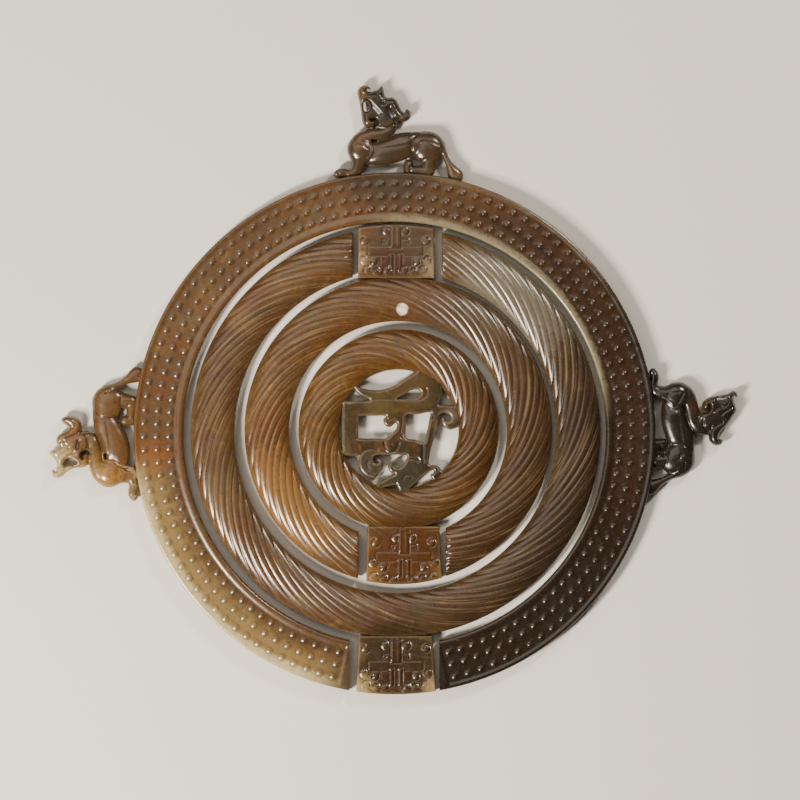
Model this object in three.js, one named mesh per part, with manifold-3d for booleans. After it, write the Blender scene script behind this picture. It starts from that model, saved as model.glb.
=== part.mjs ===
/**
 * Nested jade bi disc, millimetres, +X right, +Y towards the top beast, +Z up off the table.
 *
 * Four pieces sawn out of one slab lie inside each other in one plane: a flat outer ring with rows of
 * grain bosses and three beasts on its rim, two open rings carved as twisted rope, and a whole rope ring
 * round a pierced panel. Each rope ring carries a tab with a mask, and the tab fills the opening of the
 * ring outside it.
 */
import * as THREE from "three";
import { LoftGeometry } from "three/addons/geometries/LoftGeometry.js";
import { mergeGeometries, mergeVertices } from "three/addons/utils/BufferGeometryUtils.js";
import Module from "manifold-3d";

// ---- Driving dimensions. Places in the plane are measured from the outer ring's centre.

const SLAB = 6.6; // thickness of the flat outer ring
const MIDDLE = 3.5; // height of the plane about which the beasts and the panel are carved
const OUTER = { bore: 81.1, rim: 100, opening: [-17.4, 17.2], chamfer: 0.8 };

// Grain bosses: low pyramids in rows on three circles, from one end of the opening round to the other.
// `bounds` are the circles between the rows, `columns` the bosses in a full turn, `first` the first one's
// angle.
const GRAIN = {
  bounds: [98.4, 93.6, 88.75, 84.0],
  columns: 115,
  first: -76.1,
  filled: 107,
  sunk: 0.35,
  height: 0.5,
};

// Rope rings. `wound` is the number of ridges met on the way from the bore straight out to the rim.
const SECOND = { bore: 61.55, rim: 78.6, centre: [0.4, 0.5], ridges: 60, wound: 6.3, opening: [-16.0, 18.2] };
const THIRD = { bore: 41.7, rim: 59.0, centre: [1.4, 1.3], ridges: 43, wound: 6.2, opening: [-13.9, 19.6] };
const INNER = { bore: 22.9, rim: 38.5, centre: [1.6, 1.5], ridges: 29, wound: 5.4 };

// The rope's section, from the bore over the crown to the rim: [share of the width, height, outward x,
// outward z].
const ROPE_CROWN = [
  [0.0, 3.4, -1, 0],
  [0.14, 6.7, -0.5, 0.86],
  [0.5, 8.0, 0, 1],
  [0.86, 6.7, 0.5, 0.86],
  [1.0, 3.4, 1, 0],
];
const ROPE_FOOT = [0.8, 0.2]; // the flat underside's edges, as shares of the width
const GROOVE = 0.5; // depth of the grooves between the ridges

// Mask tabs: [left, right, height] of the inner end, [left, right] of the outer end, the arc that ends it,
// and the middle of the mask's brow.
const TAB_TOP = 6.0; // height of a tab's ground, below the relief
const RELIEF = 0.7; // height of the mask's bars and curls above that ground
const SECOND_TAB = {
  inner: [-13.7, 14.5, -77.5],
  outer: [-14.7, 15.9],
  arc: { centre: [0, 0], radius: 100 },
  brow: [0.5, -89.2],
};
const THIRD_TAB = {
  inner: [-14.0, 15.3, 59.5],
  outer: [-13.8, 15.0],
  arc: { centre: [0, 0], radius: 80 },
  brow: [0.4, 69.7],
};
const INNER_TAB = {
  inner: [-10.4, 17.2, -35.5],
  outer: [-10.9, 18.4],
  arc: { centre: [1.4, 1.3], radius: 59.1 },
  brow: [3.5, -47.4],
};

// The mask, from the middle of its brow: the curls of one half as [across, up].
const MASK = {
  nose: { width: 2.3, top: 8.2, bottom: -9.4 },
  brow: { width: 20.6, depth: 2.9 },
  curls: [
    [3.7, 7.6],
    [11.4, 5.4],
    [4.1, 2.9],
    [12.2, -2.5],
    [7.5, -4.1],
    [10.9, -7.0],
    [7.3, -7.8],
    [3.6, -8.0],
  ],
  curlRadius: 1.5,
};

// The beasts stand on the rim at the top, the left and the right, and face round against the clock.
// `chest` and `rear` shift an end of the body, along the rim and outward, from where the top beast has it,
// and `belly` says how much deeper the body hangs.
const BEASTS = [
  { head: "top", turn: 0, chest: [0, 0], rear: [0, 0], belly: 0 },
  { head: "left", turn: Math.PI / 2, chest: [-2.5, 0.4], rear: [-0.9, 0.1], belly: 1.3 },
  { head: "right", turn: -Math.PI / 2, chest: [-1.6, -0.4], rear: [-2.7, -0.7], belly: 0.2 },
];
const HEAD_HALF = 2.6; // half a head's thickness

const PANEL_HALF = 2.2; // half the panel's thickness
const PANEL_REACH = 26; // the panel's radius, a little way into the rope round it

// ---- Geometry helpers.

const wasm = await Module();
wasm.setup();

/** A closed geometry as a solid: positions welded, collapsed triangles dropped, faces turned outward. */
function solid(geometry) {
  const bare = new THREE.BufferGeometry();
  bare.setAttribute("position", geometry.getAttribute("position"));
  bare.setIndex(geometry.getIndex());
  const welded = mergeVertices(bare, 1e-4);
  const index = Array.from(welded.index.array);
  const kept = [];
  for (let i = 0; i < index.length; i += 3) {
    const [a, b, c] = index.slice(i, i + 3);
    if (a !== b && b !== c && c !== a) kept.push(a, b, c);
  }
  const vertProperties = welded.getAttribute("position").array;
  const build = (corners) =>
    new wasm.Manifold(new wasm.Mesh({ numProp: 3, vertProperties, triVerts: new Uint32Array(corners) }));
  const made = build(kept);
  return made.volume() < 0 ? build(kept.reverse()) : made;
}

/** All the solids joined into one. */
const joined = (solids) => solids.reduce((whole, piece) => whole.add(piece));

/** A solid as a named mesh in its own jade. */
function meshOf(name, body, material) {
  const { numProp, vertProperties, triVerts } = body.getMesh();
  const positions = new THREE.InterleavedBuffer(vertProperties, numProp);
  const geometry = new THREE.BufferGeometry();
  geometry.setAttribute("position", new THREE.InterleavedBufferAttribute(positions, 3, 0));
  geometry.setIndex(new THREE.BufferAttribute(triVerts, 1));
  geometry.computeVertexNormals();
  const mesh = new THREE.Mesh(geometry, material);
  mesh.name = name;
  return mesh;
}

/** A block between two corners. */
function block([x0, y0, z0], [x1, y1, z1]) {
  const box = new THREE.BoxGeometry(x1 - x0, y1 - y0, z1 - z0);
  return solid(box.translate((x0 + x1) / 2, (y0 + y1) / 2, (z0 + z1) / 2));
}

/** A low three-sided cone standing on z = 0. */
const stud = (radius, height) =>
  new THREE.ConeGeometry(radius, height, 3).rotateX(Math.PI / 2).translate(0, 0, height / 2);

// Sections of a limb, in halves of its width and thickness: rounded over a flat crest, or square.
const ROUNDED = [[1, 0], [0.55, 1], [-0.55, 1], [-1, 0], [0, -1]];
const SQUARE = [[1, -1], [1, 1], [-1, 1], [-1, -1]];

/**
 * A carved limb along a smooth line through stations of [x, y, half width, half thickness], level with the
 * middle plane. Every station gets one section.
 */
function limb(stations, section = ROUNDED) {
  const steps = stations.length - 1;
  const way = new THREE.CatmullRomCurve3(stations.map(([x, y]) => new THREE.Vector3(x, y, 0)));
  const size = new THREE.CatmullRomCurve3(stations.map(([, , w, t]) => new THREE.Vector3(w, t, 0)));
  const sections = Array.from({ length: steps + 1 }, (_, i) => {
    const at = way.getPoint(i / steps);
    const along = way.getTangent(i / steps);
    const { x: halfWidth, y: halfThickness } = size.getPoint(i / steps);
    return section.map(([a, b]) => {
      const off = halfWidth * a;
      return new THREE.Vector3(at.x - along.y * off, at.y + along.x * off, MIDDLE + halfThickness * b);
    });
  });
  return solid(new LoftGeometry(sections, { capStart: true, capEnd: true }));
}

/** A flat plate of a shape, set level about the middle plane. */
function plate(shape, half) {
  const geometry = new THREE.ExtrudeGeometry(shape, { depth: 2 * half, bevelEnabled: false });
  return solid(geometry.translate(0, 0, MIDDLE - half));
}

/** A swelling lump centred on the middle plane. */
function lump([x, y], radius, halfThickness) {
  const ball = new THREE.SphereGeometry(radius, 7, 4).rotateX(Math.PI / 2);
  return solid(ball.scale(1, 1, halfThickness / radius).translate(x, y, MIDDLE));
}

// ---- The rope rings and their tabs.

/**
 * A domed ring carved as twisted rope. Every section is a closed circle of ridge tops and groove bottoms;
 * from the bore to the rim the circles are turned on by `wound` ridges, so each ridge runs round in a
 * spiral. The flat underside is plain: there the two columns of a ridge meet in one.
 */
function ropeRing({ bore, rim, centre, ridges, wound }) {
  const columns = 2 * ridges;
  const circle = ([share, height, outX, outZ], turnedBy, skipped = 0) =>
    Array.from({ length: columns }, (_, k) => {
      const column = (k + skipped) % columns;
      const inGroove = column % 2;
      const cut = inGroove * GROOVE;
      const radius = bore + (rim - bore) * share - outX * cut;
      const angle = (Math.PI * (column - (height ? 0 : inGroove) + 2 * turnedBy)) / ridges;
      const x = centre[0] + radius * Math.cos(angle);
      return new THREE.Vector3(x, centre[1] + radius * Math.sin(angle), height - outZ * cut);
    });
  const back = 2 * Math.round(wound);
  const crown = ROPE_CROWN.map((place) => circle(place, wound * place[0]));
  const [footOut, footIn] = ROPE_FOOT.map((share) => [share, 0, 0, 0]);
  const closing = [circle(footOut, wound), circle(footIn, 0, back), circle(ROPE_CROWN[0], 0, back)];
  return solid(new LoftGeometry([...crown, ...closing]));
}

/** The piece cut away between two straight sides at the top (side 1) or the bottom (side -1) of a ring. */
function openingCut([left, right], { bore, rim }, side) {
  const [near, far] = [side * bore * 0.7, side * (rim + 5)];
  return block([left, Math.min(near, far), -1], [right, Math.max(near, far), SLAB + 5]);
}

/** A flat tab between two slightly spreading sides, ended by an arc. */
function tab({ inner: [left, right, start], outer: [outerLeft, outerRight], arc }) {
  const side = Math.sign(start);
  const onArc = (x) => arc.centre[1] + side * Math.sqrt(arc.radius ** 2 - (x - arc.centre[0]) ** 2);
  const outline = new THREE.Shape().moveTo(left, start).lineTo(right, start);
  outline.lineTo(outerRight, onArc(outerRight));
  const steps = 6;
  for (let i = 1; i <= steps; i++) {
    const x = THREE.MathUtils.lerp(outerRight, outerLeft, i / steps);
    outline.lineTo(x, onArc(x));
  }
  return solid(new THREE.ExtrudeGeometry(outline, { depth: TAB_TOP, bevelEnabled: false }));
}

/** The mask's relief: a nose bar, a brow bar and mirrored curls. */
function mask([x, y]) {
  const bar = (left, right, low, high) =>
    block([x + left, y + low, TAB_TOP - 1], [x + right, y + high, TAB_TOP + RELIEF]);
  const { nose, brow, curls, curlRadius } = MASK;
  const dot = (across, up) => stud(curlRadius, RELIEF + 1).translate(x + across, y + up, TAB_TOP - 1);
  const dots = curls.flatMap(([across, up]) => [dot(-across, up), dot(across, up)]);
  return joined([
    bar(-nose.width / 2, nose.width / 2, nose.bottom, nose.top),
    bar(-brow.width / 2, brow.width / 2, -brow.depth / 2, brow.depth / 2),
    solid(mergeGeometries(dots)),
  ]);
}

// ---- The beasts.

// Heads: the outline from the nose over the ear and the crest's curl to the nape and back along the jaw to
// the chin, and the mouth's openings as strokes of [x, y, half width].
const HEADS = {
  top: {
    outline: [
      [-14.2, 30.2], [-13.9, 32.0], [-12.7, 33.2], [-11.1, 33.5], [-9.1, 31.9], [-10.8, 31.5], [-8.2, 31.2],
      [-4.8, 33.3], [-3.7, 29.5], [-2.7, 28.7], [-0.9, 28.8], [0.5, 28.0], [2.3, 24.5], [3.3, 23.3],
      [4.3, 24.1], [5.1, 24.4], [6.2, 23.2], [6.3, 21.4], [5.2, 19.9], [3.4, 19.4], [1.0, 19.8],
      [0.7, 17.0], [-3.0, 15.4], [-6.4, 16.8], [-10.7, 17.3], [-12.1, 18.6], [-12.9, 24.0],
    ],
    openings: [
      [[-11.1, 27.0, 0.8], [-10.6, 25.4, 1.25], [-10.8, 23.6, 0.9]],
      [[-9.0, 20.2, 0.3], [-7.3, 19.8, 0.5], [-7.7, 17.4, 0.3]],
    ],
  },
  left: {
    outline: [
      [-17.0, 28.8], [-16.8, 30.3], [-15.8, 31.3], [-14.4, 31.4], [-14.5, 30.2], [-12.2, 29.3],
      [-10.4, 30.0], [-7.3, 32.3], [-5.2, 29.1], [-2.3, 29.7], [-0.8, 29.0], [1.3, 25.6], [2.3, 24.9],
      [4.0, 27.0], [5.2, 27.8], [6.3, 26.8], [6.7, 25.1], [6.2, 22.6], [4.9, 20.5], [2.9, 19.7],
      [0.6, 19.8], [0.5, 17.0], [-3.5, 15.6], [-7.2, 16.7], [-11.1, 16.8], [-12.5, 18.0], [-13.3, 22.6],
      [-14.6, 25.4], [-16.3, 27.2],
    ],
    openings: [
      [[-12.0, 26.5, 0.85], [-10.9, 25.1, 1.3], [-11.3, 22.2, 0.5]],
      [[-9.4, 19.7, 0.3], [-7.5, 19.3, 0.5], [-7.8, 16.9, 0.3]],
    ],
  },
  right: {
    outline: [
      [-16.3, 29.5], [-16.0, 30.9], [-14.9, 31.5], [-13.7, 31.2], [-13.9, 29.9], [-11.0, 30.5],
      [-9.2, 31.2], [-6.6, 29.8], [-2.6, 27.2], [-1.0, 25.6], [0.6, 24.6], [2.0, 24.4], [3.1, 25.9],
      [4.2, 25.3], [4.7, 23.8], [4.3, 22.2], [3.0, 20.9], [-0.9, 19.9], [-1.2, 17.5], [-4.5, 16.0],
      [-7.9, 17.2], [-8.5, 18.6], [-11.5, 18.0], [-13.0, 19.1], [-14.1, 21.2], [-14.6, 24.2],
    ],
    openings: [
      [[-13.3, 27.5, 0.7], [-12.4, 25.8, 1.15], [-13.1, 23.8, 0.75]],
      [[-10.9, 20.7, 0.3], [-9.1, 20.2, 0.5], [-8.4, 18.4, 0.5]],
    ],
  },
};

/** One beast's head and chin: a plate sawn through at the mouth. */
function headOf({ outline, openings }, place) {
  const shape = new THREE.Shape(outline.map((point) => new THREE.Vector2(...place(point))));
  const deep = (way) => way.map(([u, v, half]) => place([u, v, half, 5]));
  return plate(shape, HEAD_HALF).subtract(joined(openings.map((way) => limb(deep(way), SQUARE))));
}

/** Moves a place on the top beast to the same place on one with another stance, and round onto the rim. */
function stand({ turn, chest, rear }) {
  const { smoothstep } = THREE.MathUtils;
  return ([u, v, ...rest]) => {
    const front = smoothstep(-u, 1, 10);
    const back = smoothstep(u, 1, 9);
    const along = u + front * chest[0] + back * rear[0];
    const out = OUTER.rim + v + front * chest[1] + back * rear[1];
    const at = new THREE.Vector2(along, out).rotateAround(new THREE.Vector2(), turn);
    return [at.x, at.y, ...rest];
  };
}

/** One beast: a long body between shoulder and haunch, its head turned up over the back on a curved neck. */
function beast(stance) {
  const place = stand(stance);
  const { belly } = stance;
  const torso = [
    [-10.5, 7.2 - belly / 2, 4.0, 2.9],
    [-5.0, 7.6 - belly / 2, 5.0 + belly / 2, 3.2],
    [1.0, 9.5, 5.3, 3.2],
    [6.0, 10.8, 4.8, 3.2],
    [12.0, 10.6, 5.1, 3.2],
  ];
  const neck = [
    [-14.2, 9.6, 3.6, 2.9],
    [-12.6, 12.1, 3.5, 2.7],
    [-9.0, 13.9, 2.9, 2.5],
    [-4.5, 15.0, 2.9, 2.5],
    [-2.3, 18.4, 3.0, 2.4],
  ];
  const foreleg = [
    [-12.8, 7.0, 4.2, 2.9],
    [-13.7, 3.4, 2.8, 2.6],
    [-14.7, 0.6, 2.3, 2.3],
    [-17.5, -0.4, 1.5, 2.1],
    [-20.3, 0.1, 1.7, 2.2],
    [-21.9, -0.5, 1.5, 2.2],
  ];
  const hindleg = [[13.4, 7.0, 4.2, 2.9], [13.3, 3.6, 3.0, 2.6], [12.4, 0.7, 2.6, 2.3], [7.0, 0.9, 1.6, 2.1]];
  const hindpaw = [[5.0, 0.6, 1.6, 2.1], [5.3, 3.1, 1.9, 2.4]];
  const tail = [[17.6, 10.0, 1.7, 2.0], [19.6, 5.8, 1.2, 1.8], [21.5, 2.2, 1.6, 1.8], [23.4, -1.2, 3.0, 1.7]];
  const backHole = limb([[-8.4, 12.0, 0.5, 5], [-6.6, 12.1, 0.45, 5]].map(place), SQUARE);
  const body = joined([
    ...[torso, neck, foreleg, hindleg, hindpaw, tail].map((way) => limb(way.map(place))),
    lump(place([-12.7, 8.9]), 5.4, 3.4),
    lump(place([12.9, 9.3]), 6.4, 3.4),
  ]);
  const upright = stand({ ...stance, chest: [0, 0], rear: [0, 0] });
  return body.subtract(backHole).add(headOf(HEADS[stance.head], upright));
}

// ---- The pierced panel.

// Openings sawn through the panel, as outlines measured from the outer ring's centre.
const OPENINGS = {
  overRibbon: [
    [-15.2, 18.9], [-12.0, 17.2], [-8.0, 16.6], [-4.0, 16.9], [0.0, 18.5], [8.6, 24.1], [0.0, 25.2],
    [-4.5, 24.5], [-9.0, 22.7], [-13.0, 20.3],
  ],
  underTip: [[-16.0, 17.4], [-18.0, 14.8], [-19.2, 12.6], [-9.6, 12.8], [-12.5, 14.2], [-14.6, 15.8]],
  teardrop: [
    [1.0, 13.4], [3.6, 14.9], [6.4, 16.5], [8.8, 16.8], [10.0, 15.7], [9.4, 14.3], [7.6, 13.5], [4.2, 13.3],
  ],
  upperRight: [[18.6, 18.0], [18.2, 14.5], [17.0, 11.2], [23.4, 11.1], [21.6, 14.6]],
  leftSlit: [
    [-20.0, 11.2], [-20.2, 8.0], [-20.0, -6.4], [-21.6, -4.0], [-22.4, 0.0], [-22.3, 4.0], [-21.4, 8.5],
  ],
  leftWindow: [
    [-13.8, 6.0], [-13.4, 6.6], [-3.5, 6.7], [-4.3, 5.4], [-4.0, 3.7], [-3.0, 2.6], [-1.6, 2.5],
    [-0.5, 3.3], [0.3, 4.2], [0.9, 3.5], [0.6, 1.8], [-1.2, -0.1], [-3.4, -1.8], [-13.3, -1.9],
    [-13.8, -1.3],
  ],
  rightWindow: [
    [4.4, 7.1], [9.0, 7.3], [13.4, 8.0], [13.3, 5.4], [12.4, 0.8], [11.2, -3.4], [8.0, -2.3], [4.6, -1.7],
    [4.3, 3.0],
  ],
  right: [
    [16.7, 4.6], [17.2, 6.9], [18.7, 7.9], [20.4, 7.6], [21.5, 6.3], [21.3, 5.0], [20.3, 4.5],
    [19.4, 5.1], [18.9, 6.3], [18.0, 5.6], [18.2, 3.8], [19.5, 2.2], [21.6, 1.4], [25.2, 2.4],
    [24.0, -5.0], [18.6, -14.1], [16.6, -12.4], [13.2, -11.6], [13.8, -7.0], [15.2, -1.5],
  ],
  lowerLeft: [
    [-20.0, -8.6], [-13.7, -8.9], [-13.9, -11.5], [-12.9, -14.4], [-10.8, -16.4], [-8.2, -17.1],
    [-7.0, -18.4], [-7.3, -20.2], [-10.1, -19.8], [-14.2, -16.8], [-17.8, -12.5],
  ],
  middle: [
    [-8.2, -9.6], [-7.3, -8.5], [2.0, -8.2], [4.7, -8.6], [2.8, -12.4], [1.0, -13.1], [-0.2, -12.3],
    [-0.2, -11.2], [0.8, -10.9], [0.4, -10.4], [-1.2, -10.8], [-2.4, -12.0], [-2.4, -13.7], [-1.5, -15.0],
    [0.0, -15.6], [-2.0, -16.4], [-4.4, -17.9], [-6.6, -18.4], [-7.4, -17.0], [-6.4, -15.4], [-4.8, -14.0],
    [-4.2, -12.0], [-4.7, -10.5], [-5.8, -9.7], [-6.1, -11.0], [-7.4, -11.3],
  ],
  underTongue: [[-4.4, -21.0], [-1.8, -20.2], [0.4, -19.8], [1.0, -20.5], [1.5, -21.9], [-1.5, -22.2]],
  underHead: [
    [5.8, -21.3], [8.8, -18.4], [11.8, -15.8], [14.2, -14.1], [15.1, -14.5], [14.6, -15.4], [13.6, -15.9],
    [14.4, -17.6], [14.0, -18.6], [12.0, -20.2], [9.0, -21.4],
  ],
};

/** A dragon's squared body, ribbon tail and curled head, with a small phoenix perched inside it. */
function panel([x, y]) {
  const disc = new THREE.Shape().absarc(x, y, PANEL_REACH, 0, 2 * Math.PI);
  const points = (outline) => outline.map(([u, v]) => new THREE.Vector2(u, v));
  disc.holes = Object.values(OPENINGS).map((outline) => new THREE.Path(points(outline)));
  return plate(disc, PANEL_HALF);
}

// ---- The four pieces.

/**
 * The flat ring, closed: circles of its profile joined by strips of cells. Between the circles that bound
 * the rows, a cell that holds a boss rises to a point in its middle. The underside has every second point
 * only.
 */
function grainRing() {
  const { bore, rim, chamfer } = OUTER;
  const { bounds, columns, first, filled, sunk, height } = GRAIN;
  const edge = [[bore, 0], [rim, 0], [rim, SLAB - chamfer]];
  const profile = [...edge, ...bounds.map((radius) => [radius, SLAB - sunk]), [bore, SLAB - sunk]];
  const firstRow = edge.length;
  const pitch = THREE.MathUtils.degToRad(360 / columns);
  const start = THREE.MathUtils.degToRad(first);
  const points = [];
  const faces = [];
  const put = (radius, column, z) => {
    const angle = start + pitch * column;
    return points.push(new THREE.Vector3(radius * Math.cos(angle), radius * Math.sin(angle), z)) - 1;
  };
  const circles = profile.map(([radius, z]) =>
    Array.from({ length: columns }, (_, i) => put(radius, (z ? i : i - (i % 2)) - 0.5, z)),
  );
  circles.forEach((circle, j) => {
    const next = circles[(j + 1) % circles.length];
    const bossed = j >= firstRow && j < firstRow + bounds.length - 1;
    for (let i = 0; i < columns; i++) {
      const after = (i + 1) % columns;
      const corners = [circle[i], circle[after], next[after], next[i]];
      if (bossed && i < filled) {
        const peak = put((profile[j][0] + profile[j + 1][0]) / 2, i, SLAB + height);
        corners.forEach((corner, c) => faces.push(corner, corners[(c + 1) % 4], peak));
      } else {
        faces.push(corners[0], corners[1], corners[2], corners[0], corners[2], corners[3]);
      }
    }
  });
  return solid(new THREE.BufferGeometry().setFromPoints(points).setIndex(faces));
}

function outerRing() {
  const carved = grainRing().subtract(openingCut(OUTER.opening, OUTER, -1));
  return joined([carved, ...BEASTS.map(beast)]);
}

function secondRing() {
  const ring = ropeRing(SECOND).subtract(openingCut(SECOND.opening, SECOND, 1));
  return joined([ring, tab(SECOND_TAB), mask(SECOND_TAB.brow)]);
}

function thirdRing() {
  const ring = ropeRing(THIRD).subtract(openingCut(THIRD.opening, THIRD, -1));
  return joined([ring, tab(THIRD_TAB), mask(THIRD_TAB.brow)]);
}

function innerRing() {
  return joined([ropeRing(INNER), tab(INNER_TAB), mask(INNER_TAB.brow), panel(INNER.centre)]);
}

const jade = (color) => new THREE.MeshStandardMaterial({ color, roughness: 0.28, metalness: 0 });

const part = new THREE.Group();
part.add(
  meshOf("outer_ring", outerRing(), jade("#85704f")),
  meshOf("second_ring", secondRing(), jade("#87714f")),
  meshOf("third_ring", thirdRing(), jade("#8c7350")),
  meshOf("inner_ring", innerRing(), jade("#9c7843")),
);

// The origin is the middle of the object's box, on the table.
const box = new THREE.Box3().setFromObject(part, true);
const middle = box.getCenter(new THREE.Vector3());
part.position.set(-middle.x, -middle.y, -box.min.z);

export default part;
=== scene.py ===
"""Looks of a nested jade bi disc: four carved pieces that lie inside each other on a table.

Sizes are in millimetres until a mesh is made in metres. Places in the plane are measured from the middle of
the outer ring, +X to the right and +Y towards the top beast, and heights from the table.
"""

import math

import bpy
import numpy as np
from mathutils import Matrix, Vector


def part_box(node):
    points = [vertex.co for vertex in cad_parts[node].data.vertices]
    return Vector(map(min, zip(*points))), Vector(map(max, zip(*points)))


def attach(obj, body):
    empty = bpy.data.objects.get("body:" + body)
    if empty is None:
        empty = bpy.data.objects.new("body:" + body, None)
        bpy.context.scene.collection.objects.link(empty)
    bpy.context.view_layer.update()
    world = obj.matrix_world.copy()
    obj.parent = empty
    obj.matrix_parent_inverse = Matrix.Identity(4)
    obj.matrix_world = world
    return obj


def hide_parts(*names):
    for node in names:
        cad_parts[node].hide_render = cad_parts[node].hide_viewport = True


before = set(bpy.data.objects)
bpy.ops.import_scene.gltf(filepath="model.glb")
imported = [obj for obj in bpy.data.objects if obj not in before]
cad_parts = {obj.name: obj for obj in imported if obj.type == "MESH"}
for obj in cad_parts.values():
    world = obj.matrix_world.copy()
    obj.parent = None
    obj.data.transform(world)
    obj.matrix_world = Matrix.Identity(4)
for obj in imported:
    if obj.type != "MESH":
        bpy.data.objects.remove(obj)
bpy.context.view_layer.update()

MM = 0.001
SLAB = 6.6  # thickness of the flat outer ring
MIDDLE = 3.5  # height of the plane about which beasts and panel are carved
RIM = 100.0  # radius of the outer ring
# The paler rim is a painted glow of light on and through thin edges.
RIM_WIDTH = 1.3  # how far the paler rim of a sawn or rounded edge reaches in

# The outer ring's middle in the frame: the second ring's tab ends on the rim's circle, and that ring lies
# 0.4 to the right.
SECOND_LOW, SECOND_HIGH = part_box("second_ring")
CENTRE = np.array([(SECOND_LOW.x + SECOND_HIGH.x) / 2 / MM - 0.4, SECOND_LOW.y / MM + RIM])


# ---- Meshes from arrays.


def piece(name, surface, node, material, sharp=None):
    """A jade piece from a surface of points in millimetres, arrays of faces, and marks.

    Each array holds faces with one number of corners. Marks are numbers from 0 to 1 at the points that the
    jade reads: `rim` near an outline, `groove` in a cut.
    """
    points, faces, marks = surface
    mesh = bpy.data.meshes.new(name)
    corners = np.concatenate([f.ravel() for f in faces]).astype(np.int32)
    sizes = np.concatenate([np.full(len(f), f.shape[1]) for f in faces])
    starts = np.concatenate([[0], np.cumsum(sizes)[:-1]]).astype(np.int32)
    placed = (np.asarray(points, float) + [CENTRE[0], CENTRE[1], 0.0]) * MM
    mesh.vertices.add(len(placed))
    mesh.vertices.foreach_set("co", placed.ravel())
    mesh.loops.add(len(corners))
    mesh.loops.foreach_set("vertex_index", corners)
    mesh.polygons.add(len(sizes))
    mesh.polygons.foreach_set("loop_start", starts)
    mesh.update(calc_edges=True)
    for mark, values in marks.items():
        attribute = mesh.attributes.new(mark, "FLOAT", "POINT")
        attribute.data.foreach_set("value", np.ascontiguousarray(values, np.float32))
    mesh.validate()
    mesh.shade_smooth()
    if sharp is not None:
        mesh.set_sharp_from_angle(angle=math.radians(sharp))
    mesh.materials.append(material)
    obj = bpy.data.objects.new(name, mesh)
    bpy.context.scene.collection.objects.link(obj)
    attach(obj, "root")
    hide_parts(node)
    return obj


def grid_faces(rows, columns, closed_rows=False, closed_columns=False):
    """Quads between neighbouring points of a grid numbered row by row, which may close on itself."""
    i = np.arange(rows if closed_rows else rows - 1)[:, None]
    j = np.arange(columns if closed_columns else columns - 1)[None, :]
    after_i = (i + 1) % rows
    after_j = (j + 1) % columns
    near_side = [i * columns + j, i * columns + after_j]
    far_side = [after_i * columns + after_j, after_i * columns + j]
    return np.stack(near_side + far_side, -1).reshape(-1, 4)


# Corner and edge numbers of a cell: 0 to 3 are its corners from the lower left round against the clock, 4
# to 7 the crossings on its bottom, right, top and left edges. For each set of corners inside: the kept
# faces and the cut edges.
CELL_CASES = {
    1: ([(0, 4, 7)], [(4, 7)]),
    2: ([(1, 5, 4)], [(5, 4)]),
    3: ([(0, 1, 5, 7)], [(5, 7)]),
    4: ([(2, 6, 5)], [(6, 5)]),
    5: ([(0, 4, 7), (2, 6, 5)], [(4, 7), (6, 5)]),
    6: ([(1, 2, 6, 4)], [(6, 4)]),
    7: ([(0, 1, 2, 6, 7)], [(6, 7)]),
    8: ([(3, 7, 6)], [(7, 6)]),
    9: ([(0, 4, 6, 3)], [(4, 6)]),
    10: ([(1, 5, 4), (3, 7, 6)], [(5, 4), (7, 6)]),
    11: ([(0, 1, 5, 6, 3)], [(5, 6)]),
    12: ([(2, 3, 7, 5)], [(7, 5)]),
    13: ([(0, 4, 5, 2, 3)], [(4, 5)]),
    14: ([(1, 2, 3, 7, 4)], [(7, 4)]),
    15: ([(0, 1, 2, 3)], []),
}


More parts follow.
